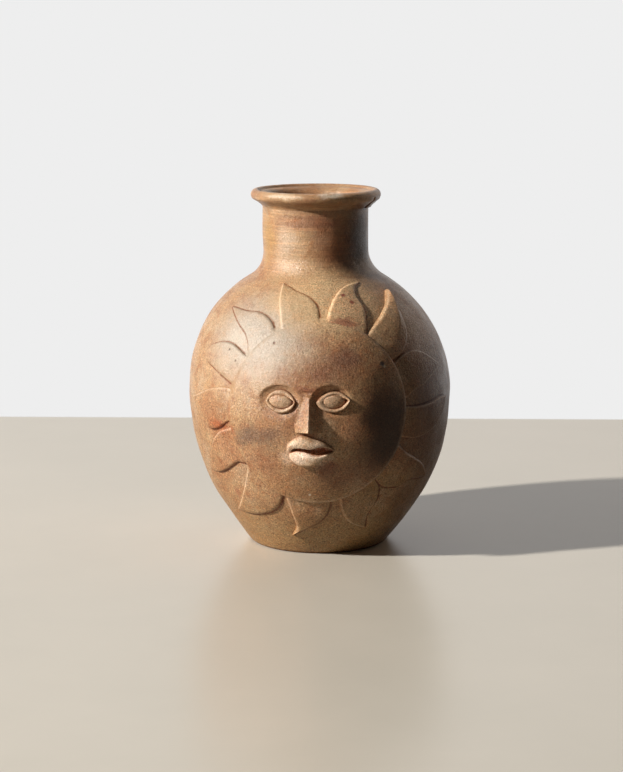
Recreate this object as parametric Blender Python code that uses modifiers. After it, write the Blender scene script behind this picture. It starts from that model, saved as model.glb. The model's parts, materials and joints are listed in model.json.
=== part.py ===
"""Sun-face vase: a hand-built terracotta jar with an applied sun on its belly.

Metres, +Z up, standing on z = 0.  The middle of the sun faces -Y.
The jar is turned; the sun, its flames and its features are clay pieces bent onto the wall.
"""
import math

import bmesh
import bpy
import numpy as np

# Driving dimensions
HEIGHT = 0.300            # floor to the crest of the lip
BASE_RADIUS = 0.058       # the flat it stands on
BELLY_RADIUS = 0.111      # widest part
BELLY_HEIGHT = 0.130      # height of the widest part
NECK_RADIUS = 0.0445      # outside of the neck
LIP_RADIUS = 0.055        # outside of the rolled lip
LIP_ROLL = 0.0045         # radius of the roll
WALL = 0.007              # thickness of the wall
FLOOR = 0.009             # thickness of the floor
SEAM = 0.0003             # gap between pieces that touch
SUN_RADIUS = 0.079        # face disc, measured along the wall
SUN_EDGE = 0.0032         # how far the disc's edge stands off the wall
SUN_CROWN = 0.0034        # how much more its middle stands off
FLAME_THICKNESS = 0.0034
EYE_WIDTH = 0.0245        # over the lids
EYE_HEIGHT = 0.0175
LID_COIL = 0.0030         # width of the coil that makes the lids
SOCKET_DEPTH = 0.0038
NOSE_HEIGHT = 0.0145      # tip of the nose above the cheek
NOSE_WIDTH = 0.020        # over the nostrils
NOSE_TOP = 0.0150         # bridge, above the sun's middle
NOSE_FOOT = -0.0140       # underside
NOSE_ASIDE = -0.0061      # ridge, from the sun's middle
NOSE_EDGE = 0.0008        # thickness where the sides run out on the cheek
NOSTRIL_EDGE = 0.0030     # and at the nostrils
LIP_FULLNESS = 0.0085     # mouth's lips above the cheek
UPPER_LIP_WIDTH = 0.0105
LOWER_LIP_WIDTH = 0.0108
LIP_CORNER_WIDTH = 0.0012
MOUTH_GAP = 0.0014        # the hairline between the lips

SEGMENTS = 64             # round the jar
ROW = 0.010               # height of a row of faces on the wall

# Shape of the jar, from the dimensions above
SHOULDER_RISE = 0.665 * (HEIGHT - BELLY_HEIGHT)   # half height of the shoulder's ellipse
THROAT_RADIUS = 0.56 * NECK_RADIUS                # hollow between shoulder and neck
LOWER_FULLNESS = 2.08                             # power of the lower curve
LIP_START = HEIGHT - 3.1 * LIP_ROLL               # where the lip sits on the neck


def shoulder(z):
    """Radius of the shoulder's ellipse at height z."""
    rise = (z - BELLY_HEIGHT) / SHOULDER_RISE
    return BELLY_RADIUS * math.sqrt(max(0.0, 1.0 - rise * rise))


def find_throat():
    """Height of the hollow's centre, and the height where it leaves the shoulder."""
    samples = [BELLY_HEIGHT + SHOULDER_RISE * k / 2000 for k in range(2001)]
    centre_radius = NECK_RADIUS + THROAT_RADIUS

    def nearest(centre_z):
        return min((math.hypot(shoulder(z) - centre_radius, z - centre_z), z) for z in samples)

    low, high = BELLY_HEIGHT, HEIGHT
    for _ in range(40):
        middle = (low + high) / 2
        if nearest(middle)[0] > THROAT_RADIUS and middle > BELLY_HEIGHT + 0.5 * SHOULDER_RISE:
            high = middle
        else:
            low = middle
    return high, nearest(high)[1]


THROAT_TOP, THROAT_FOOT = find_throat()
NECK_START = THROAT_FOOT + 0.45 * (THROAT_TOP - THROAT_FOOT)   # where the neck was added


def wall_radius(z):
    """Outer radius of the jar at each height of an array."""
    z = np.asarray(z, dtype=float)
    drop = np.clip((BELLY_HEIGHT - z) / BELLY_HEIGHT, 0.0, 1.2)
    lower = BELLY_RADIUS - (BELLY_RADIUS - BASE_RADIUS) * drop ** LOWER_FULLNESS
    rise = (z - BELLY_HEIGHT) / SHOULDER_RISE
    upper = BELLY_RADIUS * np.sqrt(np.clip(1.0 - rise * rise, 0.0, 1.0))
    across = np.clip(THROAT_TOP - z, 0.0, THROAT_RADIUS)
    throat = NECK_RADIUS + THROAT_RADIUS - np.sqrt(THROAT_RADIUS ** 2 - across ** 2)
    return np.where(z < BELLY_HEIGHT, lower, np.where(z < THROAT_FOOT, upper, throat))


def wall_normal(z):
    """Radial and upward parts of the wall's outward normal."""
    step = 0.0002
    slope = (wall_radius(z + step) - wall_radius(z - step)) / (2 * step)
    size = np.sqrt(1.0 + slope * slope)
    return 1.0 / size, -slope / size


def bend_onto_wall(points):
    """Take (across, up, lift) points of the flat sun onto the jar.

    Distances from the sun's middle are kept as arcs of the belly, and lift goes along the
    wall's normal.
    """
    across, up, lift = np.asarray(points, dtype=float).T
    turn = np.hypot(across, up) / BELLY_RADIUS
    heading = np.arctan2(up, across)
    x, y, z = np.sin(turn) * np.cos(heading), -np.cos(turn), np.sin(turn) * np.sin(heading)
    level = np.hypot(x, y)
    near, far = np.zeros_like(turn), np.full_like(turn, 2 * HEIGHT)
    for _ in range(45):
        middle = (near + far) / 2
        inside = middle * level < wall_radius(BELLY_HEIGHT + middle * z)
        near, far = np.where(inside, middle, near), np.where(inside, far, middle)
    height = BELLY_HEIGHT + near * z
    radial, upward = wall_normal(height)
    radius = wall_radius(height) + lift * radial
    return np.stack([x / level * radius, y / level * radius, height + lift * upward], axis=1)


def sun_top(across, up):
    """Lift of the disc's surface, before the eye sockets are scooped."""
    part = (across ** 2 + up ** 2) / SUN_RADIUS ** 2
    return SEAM + SUN_EDGE + SUN_CROWN * (1.0 - part)


# Scene helpers
def clear_scene():
    for item in list(bpy.data.objects):
        bpy.data.objects.remove(item, do_unlink=True)


def new_collection(name):
    collection = bpy.data.collections.new(name)
    bpy.context.scene.collection.children.link(collection)
    return collection


def clay(name, colour, roughness):
    """A fired-clay material from an sRGB hex colour."""
    channels = [int(colour[k:k + 2], 16) / 255 for k in (0, 2, 4)]
    linear = [c / 12.92 if c <= 0.04045 else ((c + 0.055) / 1.055) ** 2.4 for c in channels]
    material = bpy.data.materials.new(name)
    material.use_nodes = True
    shader = material.node_tree.nodes["Principled BSDF"]
    shader.inputs["Base Color"].default_value = (*linear, 1.0)
    shader.inputs["Roughness"].default_value = roughness
    shader.inputs["Metallic"].default_value = 0.0
    material.diffuse_color = (*linear, 1.0)
    return material


def add_object(name, mesh, collection, colour, roughness=0.55):
    part = bpy.data.objects.new(name, mesh)
    collection.objects.link(part)
    mesh.materials.append(clay(f"clay_{name}", colour, roughness))
    return part


def turned(name, section, closed, collection, colour):
    """Turn a section, (radius, height) points that run down the outer side, about Z."""
    mesh = bpy.data.meshes.new(name)
    edges = [(k, k + 1) for k in range(len(section) - 1)]
    if closed:
        edges.append((len(section) - 1, 0))
    mesh.from_pydata([(r, 0.0, z) for r, z in section], edges, [])
    part = add_object(name, mesh, collection, colour)
    screw = part.modifiers.new("Turn", "SCREW")
    screw.axis = "Z"
    screw.angle = math.tau
    screw.steps = SEGMENTS
    screw.render_steps = SEGMENTS
    screw.use_merge_vertices = True
    screw.merge_threshold = 0.00005
    screw.use_smooth_shade = True
    return part


def lofted(name, loops, collection, colour, ring=False):
    """Skin closed loops of flat (across, up, lift) points and bend the piece onto the wall.

    A loop of one point is a pole.  With ring=True the last loop joins the first.
    """
    work = bmesh.new()
    rows = []
    for loop in loops:
        rows.append([work.verts.new(point) for point in bend_onto_wall(loop)])
    pairs = list(zip(rows, rows[1:]))
    if ring:
        pairs.append((rows[-1], rows[0]))
    for one, two in pairs:
        count = max(len(one), len(two))
        for k in range(count):
            after = (k + 1) % count
            if len(one) == 1:
                work.faces.new((one[0], two[k], two[after]))
            elif len(two) == 1:
                work.faces.new((one[k], two[0], one[after]))
            else:
                work.faces.new((one[k], two[k], two[after], one[after]))
    if work.calc_volume(signed=True) < 0.0:
        bmesh.ops.reverse_faces(work, faces=work.faces)
    for face in work.faces:
        face.smooth = True
    mesh = bpy.data.meshes.new(name)
    work.to_mesh(mesh)
    work.free()
    mesh.set_sharp_from_angle(angle=math.radians(50))
    return add_object(name, mesh, collection, colour)


# The jar
def wall_heights(top, bottom, row):
    """Heights from top to bottom, evenly spaced along the wall's curve."""
    fine = np.linspace(top, bottom, 400)
    radius = wall_radius(fine)
    run = np.concatenate([[0.0], np.cumsum(np.hypot(np.diff(fine), np.diff(radius)))])
    count = max(2, round(run[-1] / row))
    return np.interp(np.linspace(0.0, run[-1], count + 1), run, fine)


def outer_line(top, bottom, row):
    heights = wall_heights(top, bottom, row)
    return list(zip(wall_radius(heights), heights))


def inner_line(top, bottom, row):
    """The inside of the wall, from top to bottom."""
    heights = wall_heights(top, bottom, row)
    radial, upward = wall_normal(heights)
    return list(zip(wall_radius(heights) - WALL * radial, heights - WALL * upward))


def make_body(collection):
    """Floor, belly and shoulder, open where the neck was added."""
    top = NECK_START - SEAM / 2
    outer = outer_line(top, 0.0, ROW)
    inside = [point for point in inner_line(top, 0.0, 2 * ROW) if point[1] > FLOOR + ROW / 2]
    fine = inner_line(top, 0.0, ROW / 4)
    corner = float(np.interp(FLOOR, [p[1] for p in fine[::-1]], [p[0] for p in fine[::-1]]))
    floor = [(0.0, FLOOR), (corner / 2, FLOOR), (corner, FLOOR)]
    section = floor + inside[::-1] + outer + [(BASE_RADIUS / 2, 0.0), (0.0, 0.0)]
    return turned("vessel_body", section, False, collection, "B98A5E")


def make_neck(collection):
    top, bottom = LIP_START, NECK_START + SEAM / 2
    section = outer_line(top, bottom, ROW) + inner_line(top, bottom, ROW)[::-1]
    return turned("neck_collar", section, True, collection, "B07F55")


def make_lip(collection):
    """Rolled lip: hollow throat inside, round roll, slanting underside."""
    foot = LIP_START + SEAM
    roll_centre = LIP_RADIUS - LIP_ROLL
    inner_foot = NECK_RADIUS - WALL
    section = []
    for k in range(7):
        angle = math.radians(90 - 150 * k / 6)
        section.append((roll_centre + LIP_ROLL * math.cos(angle),
                        HEIGHT - LIP_ROLL + LIP_ROLL * math.sin(angle)))
    under = section[-1]
    for k in (3, 2, 1, 0):
        part = k / 4
        section.append((NECK_RADIUS + (under[0] - NECK_RADIUS) * part ** 1.25,
                        foot + (under[1] - foot) * part))
    for k in range(6):
        angle = math.radians(90 * k / 6)
        section.append((roll_centre - (roll_centre - inner_foot) * math.cos(angle),
                        foot + (HEIGHT - foot) * math.sin(angle)))
    return turned("lip_coil", section, True, collection, "A9794F")


# The sun
def disc_loop(radius, lift, count=48):
    """A circle of points round the sun's middle; lift is a number or a function."""
    points = []
    for k in range(count):
        angle = math.tau * k / count
        across, up = radius * math.cos(angle), radius * math.sin(angle)
        points.append((across, up, lift(across, up) if callable(lift) else lift))
    return points


def make_disc(collection, cutters):
    """The face disc: a slab with a rounded edge and a slight crown."""
    under = [0.18, 0.34, 0.50, 0.66, 0.82]
    loops = [[(0.0, 0.0, SEAM)]]
    loops += [disc_loop(SUN_RADIUS * part, SEAM) for part in under]
    loops += [disc_loop(SUN_RADIUS - 0.25 * SUN_EDGE, SEAM),
              disc_loop(SUN_RADIUS, SEAM + 0.30 * SUN_EDGE),
              disc_loop(SUN_RADIUS - 0.15625 * SUN_EDGE, SEAM + 0.70 * SUN_EDGE),
              disc_loop(SUN_RADIUS - 0.625 * SUN_EDGE, SEAM + 0.95 * SUN_EDGE)]
    over = [0.93, 0.84, 0.74, 0.64, 0.54, 0.44, 0.34, 0.23, 0.12]
    loops += [disc_loop(SUN_RADIUS * part, sun_top) for part in over]
    loops += [[(0.0, 0.0, float(sun_top(0.0, 0.0)))]]
    disc = lofted("sun_disc", loops, collection, "A9784F")
    for cutter in cutters:
        scoop = disc.modifiers.new(cutter.name, "BOOLEAN")
        scoop.operation = "DIFFERENCE"
        scoop.solver = "EXACT"
        scoop.object = cutter
    return disc


# Each flame: where its root's middle stands on the disc (degrees from the right, going
# over the top), the root's width and the tip's place in degrees, how far the tip reaches
# from the sun's middle, and how far its body sways sideways (mm).
FLAMES = {
    "flame_01": (101.9, 24.5, 106.8, 124.5, -4.0),
    "flame_02": (70.6, 24.6, 71.0, 129.0, 5.0),
    "flame_03": (44.6, 22.6, 57.3, 137.0, -5.0),
    "flame_04": (19.4, 22.8, 15.8, 137.5, 3.5),
    "flame_05": (-8.4, 20.8, 1.0, 135.0, -4.5),
    "flame_06": (-39.2, 22.6, -36.5, 134.0, 5.0),
    "flame_07": (-65.1, 22.8, -69.4, 114.7, -2.5),
    "flame_08": (-94.5, 24.4, -100.8, 113.2, 3.0),
    "flame_09": (-125.4, 26.4, -125.8, 128.0, 5.0),
    "flame_10": (-152.5, 20.6, -145.9, 131.7, -5.0),
    "flame_11": (179.5, 20.8, 180.0, 133.6, 3.5),
    "flame_12": (153.9, 21.6, 156.7, 127.6, -1.0),
    "flame_13": (127.8, 20.0, 131.5, 125.5, -2.0),
}


def make_flame(name, shape, collection):
    """A flame: a flat leaf of clay, pointed at the tip, swaying, thinner at its sides."""
    root, width, tip, reach, sway = shape
    scale = SUN_RADIUS / 79        # the table is in mm on a disc of 79 mm
    reach *= scale
    sway *= scale
    start = SUN_RADIUS + SEAM + 0.0001
    length = reach - start
    steps = 9
    loops, spine = [], []
    for k in range(steps + 1):
        along = 1.0 - (1.0 - k / steps) ** 1.15
        distance = start + length * along
        swell = (1.0 - along ** 1.5) ** 1.05 * (1.0 + 0.25 * math.sin(math.pi * along))
        half = max(0.0004, math.radians(width / 2) * SUN_RADIUS * swell)
        heading = math.radians(root + (tip - root) * along)
        heading += sway * math.sin(math.pi * along) / distance
        thick = FLAME_THICKNESS * (1.0 - 0.65 * along ** 2)
        loop = []
        for side in (-1.0, -0.5, 0.0, 0.5, 1.0):
            loop.append((side * half, SEAM))
        for side, part in ((1.0, 0.45), (0.86, 0.86), (0.45, 1.0), (0.0, 1.0),
                           (-0.45, 1.0), (-0.86, 0.86), (-1.0, 0.45)):
            loop.append((side * half, SEAM + thick * part))
        loops.append([(distance * math.cos(heading - aside / distance),
                       distance * math.sin(heading - aside / distance), lift)
                      for aside, lift in loop])
        spine.append((distance * math.cos(heading), distance * math.sin(heading),
                      SEAM + thick / 2))
    return lofted(name, [[spine[0]]] + loops + [[spine[-1]]], collection, "B58456")


def with_end_points(loops):
    """Close a loft with a point in the middle of its first and its last loop."""
    first = tuple(np.mean(loops[0], axis=0))
    last = tuple(np.mean(loops[-1], axis=0))
    return [[first]] + loops + [[last]]


# The face, which sits a little to the left of the disc's middle
# Middle of each eye, and how far its socket's middle stands aside of it.
EYES = {"left": (-0.0285, 0.0087, -0.0022), "right": (0.0130, 0.0091, -0.0008)}
SOCKET_RISE = 0.0008           # socket's middle above the eye's


def socket_floor(eye, across, up):
    """Lift of the scooped socket: steep under the brow, running out on the cheek."""
    middle, level, aside = eye
    x = (across - middle - aside) / (0.69 * EYE_WIDTH)
    y = (up - level - SOCKET_RISE) / (0.71 * EYE_HEIGHT)
    reach = math.hypot(x, y)
    power = 2.6 + 1.4 * (y / reach if reach > 1e-6 else 0.0)
    return float(sun_top(across, up)) - SOCKET_DEPTH * (1.0 - reach ** power)


def socket_loop(eye, part, lift=None, count=32):
    middle, level, aside = eye
    points = []
    for k in range(count):
        angle = math.tau * k / count
        across = middle + aside + 0.69 * EYE_WIDTH * part * math.cos(angle)
        up = level + SOCKET_RISE + 0.71 * EYE_HEIGHT * part * math.sin(angle)
        points.append((across, up, socket_floor(eye, across, up) if lift is None else lift))
    return points


def make_socket_cutter(side, collection):
    eye = EYES[side]
    centre = (eye[0] + eye[2], eye[1] + SOCKET_RISE)
    loops = [[(*centre, socket_floor(eye, *centre))]]
    loops += [socket_loop(eye, part) for part in (0.15, 0.32, 0.5, 0.66, 0.8, 0.92, 1.06)]
    loops += [socket_loop(eye, 1.06, 0.020), [(*centre, 0.020)]]
    cutter = lofted(f"cut_socket_{side}", loops, collection, "808080")
    cutter.hide_render = True
    cutter.display_type = "WIRE"
    return cutter


def eye_point(eye, angle, half_width, half_height):
    """A point on an almond round the eye's middle."""
    rise = math.sin(angle)
    return (eye[0] + half_width * math.cos(angle),
            eye[1] + half_height * math.copysign(abs(rise) ** 1.15, rise))


def make_eyelids(side, collection):
    """One coil of clay laid round the eye."""
    eye = EYES[side]
    half = LID_COIL / 2
    count = 32
    loops = []
    for k in range(count):
        angle = math.tau * k / count
        loop = []
        for offset, lift in ((-1.0, 0.0), (-1.0, 0.45), (-0.5, 0.85), (0.5, 0.85),
                             (1.0, 0.45), (1.0, 0.0)):
            width = EYE_WIDTH / 2 - half + offset * half
            height = EYE_HEIGHT / 2 - half + offset * half
            across, up = eye_point(eye, angle, width, height)
            loop.append((across, up, socket_floor(eye, across, up) + SEAM + lift * LID_COIL))
        loops.append(loop)
    return lofted(f"eyelids_{side}", loops, collection, "AD7C52", ring=True)


def make_eyeball(side, collection):
    """A lens of clay inside the lids."""
    eye = EYES[side]
    half_width = EYE_WIDTH / 2 - LID_COIL - SEAM
    half_height = EYE_HEIGHT / 2 - LID_COIL - SEAM
    dome = 0.9 * LID_COIL
    loops = [[(eye[0], eye[1], socket_floor(eye, eye[0], eye[1]) + SEAM)]]
    for part, lift in ((0.35, 0.0), (0.7, 0.0), (0.97, 0.0), (1.0, 0.2), (0.9, 0.55),
                       (0.68, 0.84), (0.36, 0.97)):
        loop = []
        for k in range(28):
            across, up = eye_point(eye, math.tau * k / 28, half_width * part,
                                   half_height * part)
            loop.append((across, up, socket_floor(eye, across, up) + SEAM + lift * dome))
        loops.append(loop)
    loops.append([(eye[0], eye[1], socket_floor(eye, eye[0], eye[1]) + SEAM + dome)])
    return lofted(f"eyeball_{side}", loops, collection, "B3835A")


def make_nose(collection):
    """A wedge: narrow bridge between the brows, flat underside, flared wings."""
    loops = []
    for part, share, height in ((0.0, 0.18, 0.14), (0.12, 0.20, 0.24), (0.30, 0.215, 0.42),
                                (0.50, 0.26, 0.64), (0.68, 0.34, 0.84), (0.84, 0.46, 0.97),
                                (0.95, 0.51, 1.0), (1.0, 0.50, 0.96)):
        up = NOSE_TOP + (NOSE_FOOT - NOSE_TOP) * part
        half = NOSE_WIDTH * share
        rise = NOSE_HEIGHT * height
        edge = NOSE_EDGE if part < 0.8 else NOSTRIL_EDGE
        loop = [(side * half, 0.0) for side in (-1.0, -0.5, 0.0, 0.5, 1.0)]
        loop += [(half, edge), (0.60 * half, 0.55 * rise + 0.4 * edge), (0.22 * half, 0.96 * rise),
                 (-0.22 * half, 0.96 * rise), (-0.60 * half, 0.55 * rise + 0.4 * edge),
                 (-half, edge)]
        tuck = 0.12 * max(0.0, part - 0.8) / 0.2      # the underside slants in to the lip
        loops.append([(NOSE_ASIDE + aside, up + tuck * lift,
                       float(sun_top(NOSE_ASIDE + aside, up)) + SEAM + lift)
                      for aside, lift in loop])
    return lofted("nose", with_end_points(loops), collection, "B07F55")


MOUTH_LEFT = (-0.0225, -0.0312)
MOUTH_RIGHT = (0.0145, -0.0300)
MOUTH_ARCH = 0.0026            # how far the middle of the mouth's line rises


def make_mouth_lip(name, direction, width, skew, colour, collection):
    """One lip of the mouth, from corner to corner; direction is +1 for the upper lip.

    A skew under 1 moves the lip's fullest place towards the left corner.
    """
    loops = []
    steps = 12
    for k in range(steps + 1):
        along = 0.02 + 0.96 * k / steps
        arch = math.sin(math.pi * along ** skew)
        across = MOUTH_LEFT[0] + (MOUTH_RIGHT[0] - MOUTH_LEFT[0]) * along
        line = MOUTH_LEFT[1] + (MOUTH_RIGHT[1] - MOUTH_LEFT[1]) * along
        line += MOUTH_ARCH * math.sin(math.pi * along)
        near = line + direction * MOUTH_GAP / 2
        reach = direction * max(LIP_CORNER_WIDTH, width * arch ** 0.8)
        rise = LIP_FULLNESS * (0.18 + 0.82 * arch ** 0.7)
        loop = []
        for part, lift in ((0.0, 0.0), (0.5, 0.0), (1.0, 0.0), (1.0, 0.10), (0.82, 0.42),
                           (0.55, 0.82), (0.28, 1.0), (0.08, 0.88), (0.0, 0.55)):
            up = near + reach * part
            loop.append((across, up, float(sun_top(across, up)) + SEAM + lift * rise))
        loops.append(loop)
    return lofted(name, with_end_points(loops), collection, colour)


def build():
    clear_scene()
    vase = new_collection("sun_face_vase")
    cutters = new_collection("cutters")
    make_body(vase)
    make_neck(vase)
    make_lip(vase)
    make_disc(vase, [make_socket_cutter(side, cutters) for side in EYES])
    for name, shape in FLAMES.items():
        make_flame(name, shape, vase)
    for side in EYES:
        make_eyelids(side, vase)
        make_eyeball(side, vase)
    make_nose(vase)
    make_mouth_lip("upper_lip", 1, UPPER_LIP_WIDTH, 0.72, "B07C54", vase)
    make_mouth_lip("lower_lip", -1, LOWER_LIP_WIDTH, 0.88, "B9885E", vase)


build()
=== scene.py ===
import json
import math

import bpy
import numpy as np
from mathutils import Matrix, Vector

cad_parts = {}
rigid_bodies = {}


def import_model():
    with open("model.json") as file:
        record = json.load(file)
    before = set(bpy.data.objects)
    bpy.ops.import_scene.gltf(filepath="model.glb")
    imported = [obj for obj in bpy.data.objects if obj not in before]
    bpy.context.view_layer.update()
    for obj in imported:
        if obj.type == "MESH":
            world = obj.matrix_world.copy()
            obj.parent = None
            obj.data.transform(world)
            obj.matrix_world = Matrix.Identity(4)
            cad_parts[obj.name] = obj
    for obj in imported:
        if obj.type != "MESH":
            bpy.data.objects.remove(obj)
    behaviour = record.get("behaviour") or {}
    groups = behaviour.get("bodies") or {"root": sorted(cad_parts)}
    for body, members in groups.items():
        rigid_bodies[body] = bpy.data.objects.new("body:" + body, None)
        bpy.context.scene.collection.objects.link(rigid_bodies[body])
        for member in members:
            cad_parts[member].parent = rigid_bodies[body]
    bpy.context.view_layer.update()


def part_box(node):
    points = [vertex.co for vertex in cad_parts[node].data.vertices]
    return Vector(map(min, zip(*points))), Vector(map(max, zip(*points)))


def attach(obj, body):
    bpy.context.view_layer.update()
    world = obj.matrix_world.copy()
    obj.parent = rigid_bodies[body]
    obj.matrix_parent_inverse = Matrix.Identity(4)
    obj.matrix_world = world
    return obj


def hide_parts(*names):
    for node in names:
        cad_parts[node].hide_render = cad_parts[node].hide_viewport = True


# Sun-face vase: a coil-built terracotta jar, burnished and fired in an open fire.
# Lengths are in millimetres until a piece is finished, when its mesh is put in metres.

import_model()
mm = 0.001

bodyLow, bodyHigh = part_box("vessel_body")
lipLow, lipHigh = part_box("lip_coil")

jar = {
    "height": lipHigh.z / mm,
    "belly": (bodyHigh.x - bodyLow.x) / 2 / mm,
    "bellyHeight": 130.0,
    "base": 58.0,
    "neck": 44.5,
    "neckStart": bodyHigh.z / mm,      # where the neck's coil was added
    "lipStart": lipLow.z / mm,
    "lip": (lipHigh.x - lipLow.x) / 2 / mm,
    "lipRoll": 4.5,
    "wall": 7.0,
    "floor": 9.0,
    "lowerFullness": 2.08,             # power of the curve below the belly
    "shoulderShare": 0.665,            # of the height above the belly
    "throatShare": 0.56,               # radius of the hollow under the neck, for the neck's
    "turns": 288,                      # faces round the jar
}
jar["shoulderRise"] = jar["shoulderShare"] * (jar["height"] - jar["bellyHeight"])
jar["throat"] = jar["throatShare"] * jar["neck"]


# the hollow is tangent to the neck above and to the shoulder's ellipse below
def fitThroat():
    heights = np.linspace(0, jar["shoulderRise"], 4000)
    radii = jar["belly"] * np.sqrt(1 - (heights / jar["shoulderRise"]) ** 2)
    low, high = 0.5 * jar["shoulderRise"], 1.5 * jar["shoulderRise"]
    for _ in range(40):
        middle = (low + high) / 2
        reach = np.hypot(radii - jar["neck"] - jar["throat"], heights - middle)
        if reach.min() > jar["throat"]:
            high = middle
        else:
            low = middle
    return jar["bellyHeight"] + high, jar["bellyHeight"] + heights[reach.argmin()]


throatTop, throatFoot = fitThroat()


def wallRadius(z):
    z = np.asarray(z, dtype=float)
    drop = np.clip((jar["bellyHeight"] - z) / jar["bellyHeight"], 0, 1.2)
    lower = jar["belly"] - (jar["belly"] - jar["base"]) * drop ** jar["lowerFullness"]
    rise = (z - jar["bellyHeight"]) / jar["shoulderRise"]
    upper = jar["belly"] * np.sqrt(np.clip(1 - rise * rise, 0, 1))
    across = np.clip(throatTop - z, 0, jar["throat"])
    throat = jar["neck"] + jar["throat"] - np.sqrt(jar["throat"] ** 2 - across ** 2)
    return np.where(z < jar["bellyHeight"], lower, np.where(z < throatFoot, upper, throat))


def wallNormal(z):
    slope = (wallRadius(z + 0.2) - wallRadius(z - 0.2)) / 0.4
    size = np.sqrt(1 + slope * slope)
    return 1 / size, -slope / size


# flat (across, up, lift) points to the jar's wall; lengths stay true along the belly's arc
def bendOntoWall(flat):
    across, up, lift = flat.T
    turn = np.hypot(across, up) / jar["belly"]
    heading = np.arctan2(up, across)
    x, y, z = np.sin(turn) * np.cos(heading), -np.cos(turn), np.sin(turn) * np.sin(heading)
    level = np.hypot(x, y)
    near, far = np.zeros_like(turn), np.full_like(turn, 2 * jar["height"])
    for _ in range(40):
        middle = (near + far) / 2
        inside = middle * level < wallRadius(jar["bellyHeight"] + middle * z)
        near, far = np.where(inside, middle, near), np.where(inside, far, middle)
    height = jar["bellyHeight"] + near * z
    radial, upward = wallNormal(height)
    radius = wallRadius(height) + lift * radial
    return np.stack([x / level * radius, y / level * radius, height + lift * upward], axis=1)


# a smooth line through a few points, at parts 0 to 1 of its length
def smoothLine(points, parts):
    points = np.asarray(points, dtype=float)
    steps = np.hypot(*np.diff(points[:, :2], axis=0).T)
    run = np.concatenate([[0], np.cumsum(steps)])
    slopes = np.gradient(points, run, axis=0)
    place = np.clip(parts, 0, 1) * run[-1]
    k = np.clip(np.searchsorted(run, place, side="right") - 1, 0, len(run) - 2)
    span = run[k + 1] - run[k]
    t = ((place - run[k]) / span)[:, None]
    span = span[:, None]
    return ((2 * t ** 3 - 3 * t ** 2 + 1) * points[k] + (t ** 3 - 2 * t ** 2 + t) * span * slopes[k]
            + (3 * t ** 2 - 2 * t ** 3) * points[k + 1] + (t ** 3 - t ** 2) * span * slopes[k + 1])


def smoothStep(t):
    t = np.clip(t, 0, 1)
    return t * t * (3 - 2 * t)


# steep at 0 and level at 1
def quarterRound(t):
    return np.sqrt(1 - (1 - np.clip(t, 0, 1)) ** 2)


# 1 at a place, falling off to both sides
def bell(value, at, wide, power=2):
    return np.exp(-((value - at) / wide) ** power)


# how the potter's hand shows: the neck leans a little, and nothing is quite round
hand = {
    # height, sideways shift of the axis
    "lean": [(0, -0.3), (25, 0.7), (60, 1.0), (110, 0.7), (150, 0.2), (180, -0.6),
             (212, -1.5), (236, -2.7), (265, -2.9), (300, -2.9)],
    "lumps": (0.42, 85.0),        # height and length of the waves
    "ripples": (0.13, 26.0),
    "waves": 16,
}
leanLine = smoothLine(hand["lean"], np.linspace(0, 1, 300))


def leanAt(heights):
    return np.interp(heights, leanLine[:, 0], leanLine[:, 1])


def handWaves(points, height, length, seed):
    pick = np.random.default_rng(seed)
    ways = pick.normal(size=(hand["waves"], 3))
    ways *= math.tau / length / np.linalg.norm(ways, axis=1)[:, None]
    ways *= pick.uniform(0.7, 1.4, (hand["waves"], 1))
    waves = np.sin(points @ ways.T + pick.uniform(0, math.tau, hand["waves"]))
    return height * waves.sum(axis=1) / math.sqrt(hand["waves"] / 2)


def handShape(points):
    lumps = handWaves(points, *hand["lumps"], 4) + handWaves(points, *hand["ripples"], 9)
    lumps *= np.clip(points[:, 2] / 12, 0, 1)           # the foot stands flat
    grow = 1 + lumps / np.maximum(np.hypot(points[:, 0], points[:, 1]), 20)
    return np.stack([points[:, 0] * grow + leanAt(points[:, 2]), points[:, 1] * grow,
                     points[:, 2]], axis=1)


# places on the sun were read from the leaning jar, so the lean comes out before it goes in
def placeOnJar(flat):
    bent = bendOntoWall(flat)
    shift = leanAt(bent[:, 2]) * np.cos(np.arctan2(bent[:, 0], -bent[:, 1]))
    return bendOntoWall(flat - np.stack([shift, 0 * shift, 0 * shift], axis=1))


# mesh helpers

def deselectAll():
    for item in bpy.context.view_layer.objects:
        item.select_set(False)


def readPoints(piece):
    points = np.empty(len(piece.data.vertices) * 3)
    piece.data.vertices.foreach_get("co", points)
    return points.reshape(-1, 3)


def writePoints(piece, points):
    piece.data.vertices.foreach_set("co", np.ascontiguousarray(points, dtype=float).ravel())
    piece.data.update()


# how pale (plus: wear and painted highlight) or dark (minus: slip and painted shade) each point is,
# kept on the mesh
def markEdges(piece, values):
    mark = piece.data.attributes.new("edge", "FLOAT", "POINT")
    mark.data.foreach_set("value", np.ascontiguousarray(np.clip(values, -1, 1), dtype=float))


def startPiece(name):
    piece = bpy.context.active_object
    piece.name = name
    piece.data.name = name
    deselectAll()
    piece.select_set(True)
    bpy.context.view_layer.objects.active = piece
    return piece


def applyModifier(piece, kind, **settings):
    modifier = piece.modifiers.new(kind.title(), kind)
    for key, value in settings.items():
        setattr(modifier, key, value)
    bpy.context.view_layer.objects.active = piece
    bpy.ops.object.modifier_apply(modifier=modifier.name)


def outwardFaces(piece):
    bpy.context.view_layer.objects.active = piece
    bpy.ops.object.mode_set(mode="EDIT")
    bpy.ops.mesh.select_all(action="SELECT")
    bpy.ops.mesh.remove_doubles(threshold=0.002)
    bpy.ops.mesh.normals_make_consistent(inside=False)
    bpy.ops.object.mode_set(mode="OBJECT")


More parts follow.
